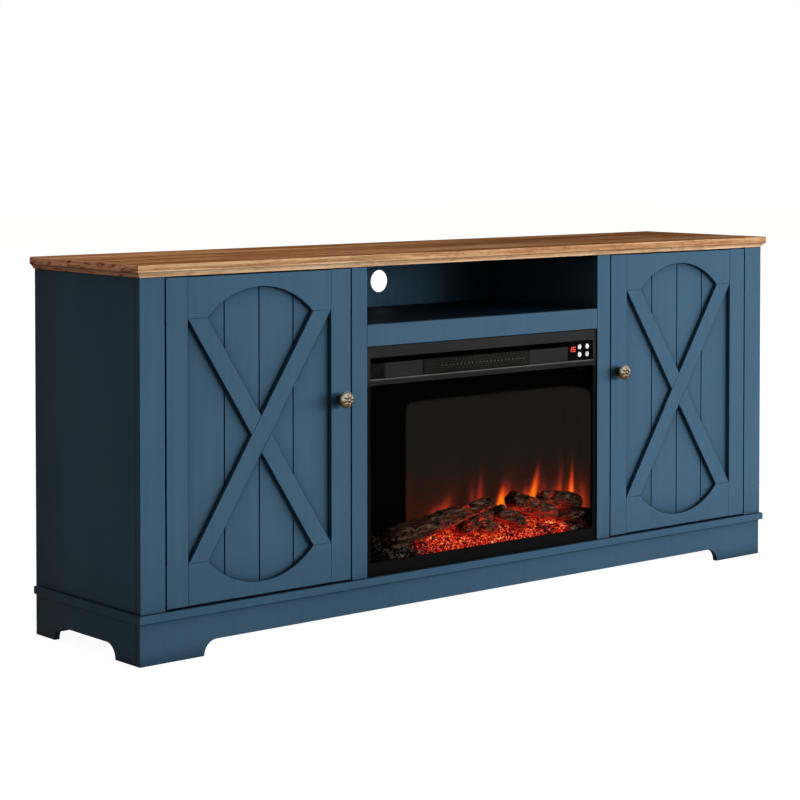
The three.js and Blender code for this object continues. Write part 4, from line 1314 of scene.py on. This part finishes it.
def stroke_box(stroke):
    """A display stroke's corners across and up its digit. The strokes are a at the top, b and c at the right,
    d at the bottom, e and f at the left and g in the middle."""
    half = DIGIT_HEIGHT / 2
    width = DIGIT_STROKE
    return {
        "a": (0, DIGIT_HEIGHT - width, DIGIT_WIDTH, DIGIT_HEIGHT),
        "b": (DIGIT_WIDTH - width, half, DIGIT_WIDTH, DIGIT_HEIGHT),
        "c": (DIGIT_WIDTH - width, 0, DIGIT_WIDTH, half),
        "d": (0, 0, DIGIT_WIDTH, width),
        "e": (0, 0, width, half),
        "f": (0, half, width, DIGIT_HEIGHT),
        "g": (0, half - width / 2, DIGIT_WIDTH, half + width / 2),
    }[stroke]


def add_display():
    """Two lit digits on the floor of the control panel's display pocket."""
    low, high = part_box("control_panel")
    text_width = (len(DISPLAY_TEXT) - 1) * DIGIT_PITCH + DIGIT_WIDTH + DIGIT_SLANT * DIGIT_HEIGHT
    left = low.x + DISPLAY_INSET - text_width / 2
    bottom = (low.z + high.z) / 2 + DISPLAY_RISE - DIGIT_HEIGHT / 2
    floor = low.y + DISPLAY_DEPTH
    strokes = []
    for index, digit in enumerate(DISPLAY_TEXT):
        for stroke in DIGITS[digit]:
            x0, z0, x1, z1 = stroke_box(stroke)
            corners, faces = block((x0, -DIGIT_RELIEF, z0), (x1, 0, z1))
            foot = left + index * DIGIT_PITCH
            placed = [(foot + x + DIGIT_SLANT * z, floor + y, bottom + z) for x, y, z in corners]
            strokes.append((placed, faces))
    add_piece("display_digits", joined(strokes), "display_light")


def add_lamp(lamp):
    """A lamp out of sight of the camera and of mirrors, aimed at the middle of the object."""
    data = bpy.data.lights.new(lamp.name, "AREA")
    data.shape = "RECTANGLE"
    data.size = lamp.width
    data.size_y = lamp.height
    data.energy = lamp.watts
    azimuth, elevation = math.radians(lamp.azimuth), math.radians(lamp.elevation)
    level = math.cos(elevation)
    way = Vector((math.sin(azimuth) * level, -math.cos(azimuth) * level, math.sin(elevation)))
    thing = new_object(lamp.name, data)
    thing.location = Vector(STUDIO_TARGET) + way * lamp.distance
    thing.rotation_euler = way.to_track_quat("Z", "Y").to_euler()
    thing.visible_glossy = False
    thing.visible_camera = False


def seen_directly(shader):
    """1 for rays from the camera, mirrors and clear things, and 0 for the light that falls on surfaces."""
    kinds = ("Is Camera Ray", "Is Glossy Ray", "Is Transmission Ray")
    return shader.largest(*[shader.add("ShaderNodeLightPath", {}, output=kind) for kind in kinds])


def add_floor():
    """A white floor that keeps the object's shadow and throws little light back."""
    shader = Shader("studio_floor")
    bounce = shader.add("ShaderNodeBsdfDiffuse", {"Color": FLOOR_BOUNCE})
    tone = shader.add("ShaderNodeBsdfDiffuse", {"Color": FLOOR_TONE})
    glow = shader.add("ShaderNodeEmission", {"Color": WHITE, "Strength": FLOOR_GLOW})
    white = shader.add("ShaderNodeAddShader", {0: tone, 1: glow})
    shader.add_output(shader.add("ShaderNodeMixShader", {0: seen_directly(shader), 1: bounce, 2: white}))
    mesh = bpy.data.meshes.new("studio_floor")
    half = FLOOR_SIZE / 2
    corners = [(-half, -half, 0), (half, -half, 0), (half, half, 0), (-half, half, 0)]
    mesh.from_pydata(corners, [], [range(4)])
    mesh.materials.append(shader.owner)
    new_object("studio_floor", mesh)


def set_world():
    """White where it is seen, and a low even light where it falls on surfaces."""
    shader = Shader("studio_world", "worlds")
    seen = seen_directly(shader)
    background = shader.add("ShaderNodeBackground", {
        "Color": shader.mix(seen, AMBIENT_TINT, WHITE),
        "Strength": seen.spread(0.0, 1.0, AMBIENT_LEVEL, 1.0),
    })
    shader.add_output(background, "ShaderNodeOutputWorld")
    bpy.context.scene.world = shader.owner


def add_camera():
    data = bpy.data.cameras.new("photo_camera")
    data.lens = CAMERA_LENS_MM
    data.sensor_width = CAMERA_SENSOR_MM
    data.shift_y = CAMERA_SHIFT_Y
    data.clip_end = CAMERA_REACH
    camera = new_object("photo_camera", data)
    camera.location = CAMERA_PLACE
    camera.rotation_euler = (math.pi / 2 - CAMERA_TILT, 0, CAMERA_YAW)
    bpy.context.scene.camera = camera


add_camera()
set_world()
add_floor()
for lamp in LAMPS:
    add_lamp(lamp)

add_top_board()
add_knob("left")
add_knob("right")
add_logs()
add_ember_bed()
add_side_liners()
add_outlet_bars()
add_grille()
add_studs()
add_display()
rebuilt = {"top_board", "left_knob", "right_knob", "log_set", "ember_bed"}
for part in frame["record"]["subparts"]:
    if part["node"] not in rebuilt:
        dress(part["node"], part["material_slot"])

bpy.context.scene.view_settings.view_transform = "Standard"
bpy.context.view_layer.update()
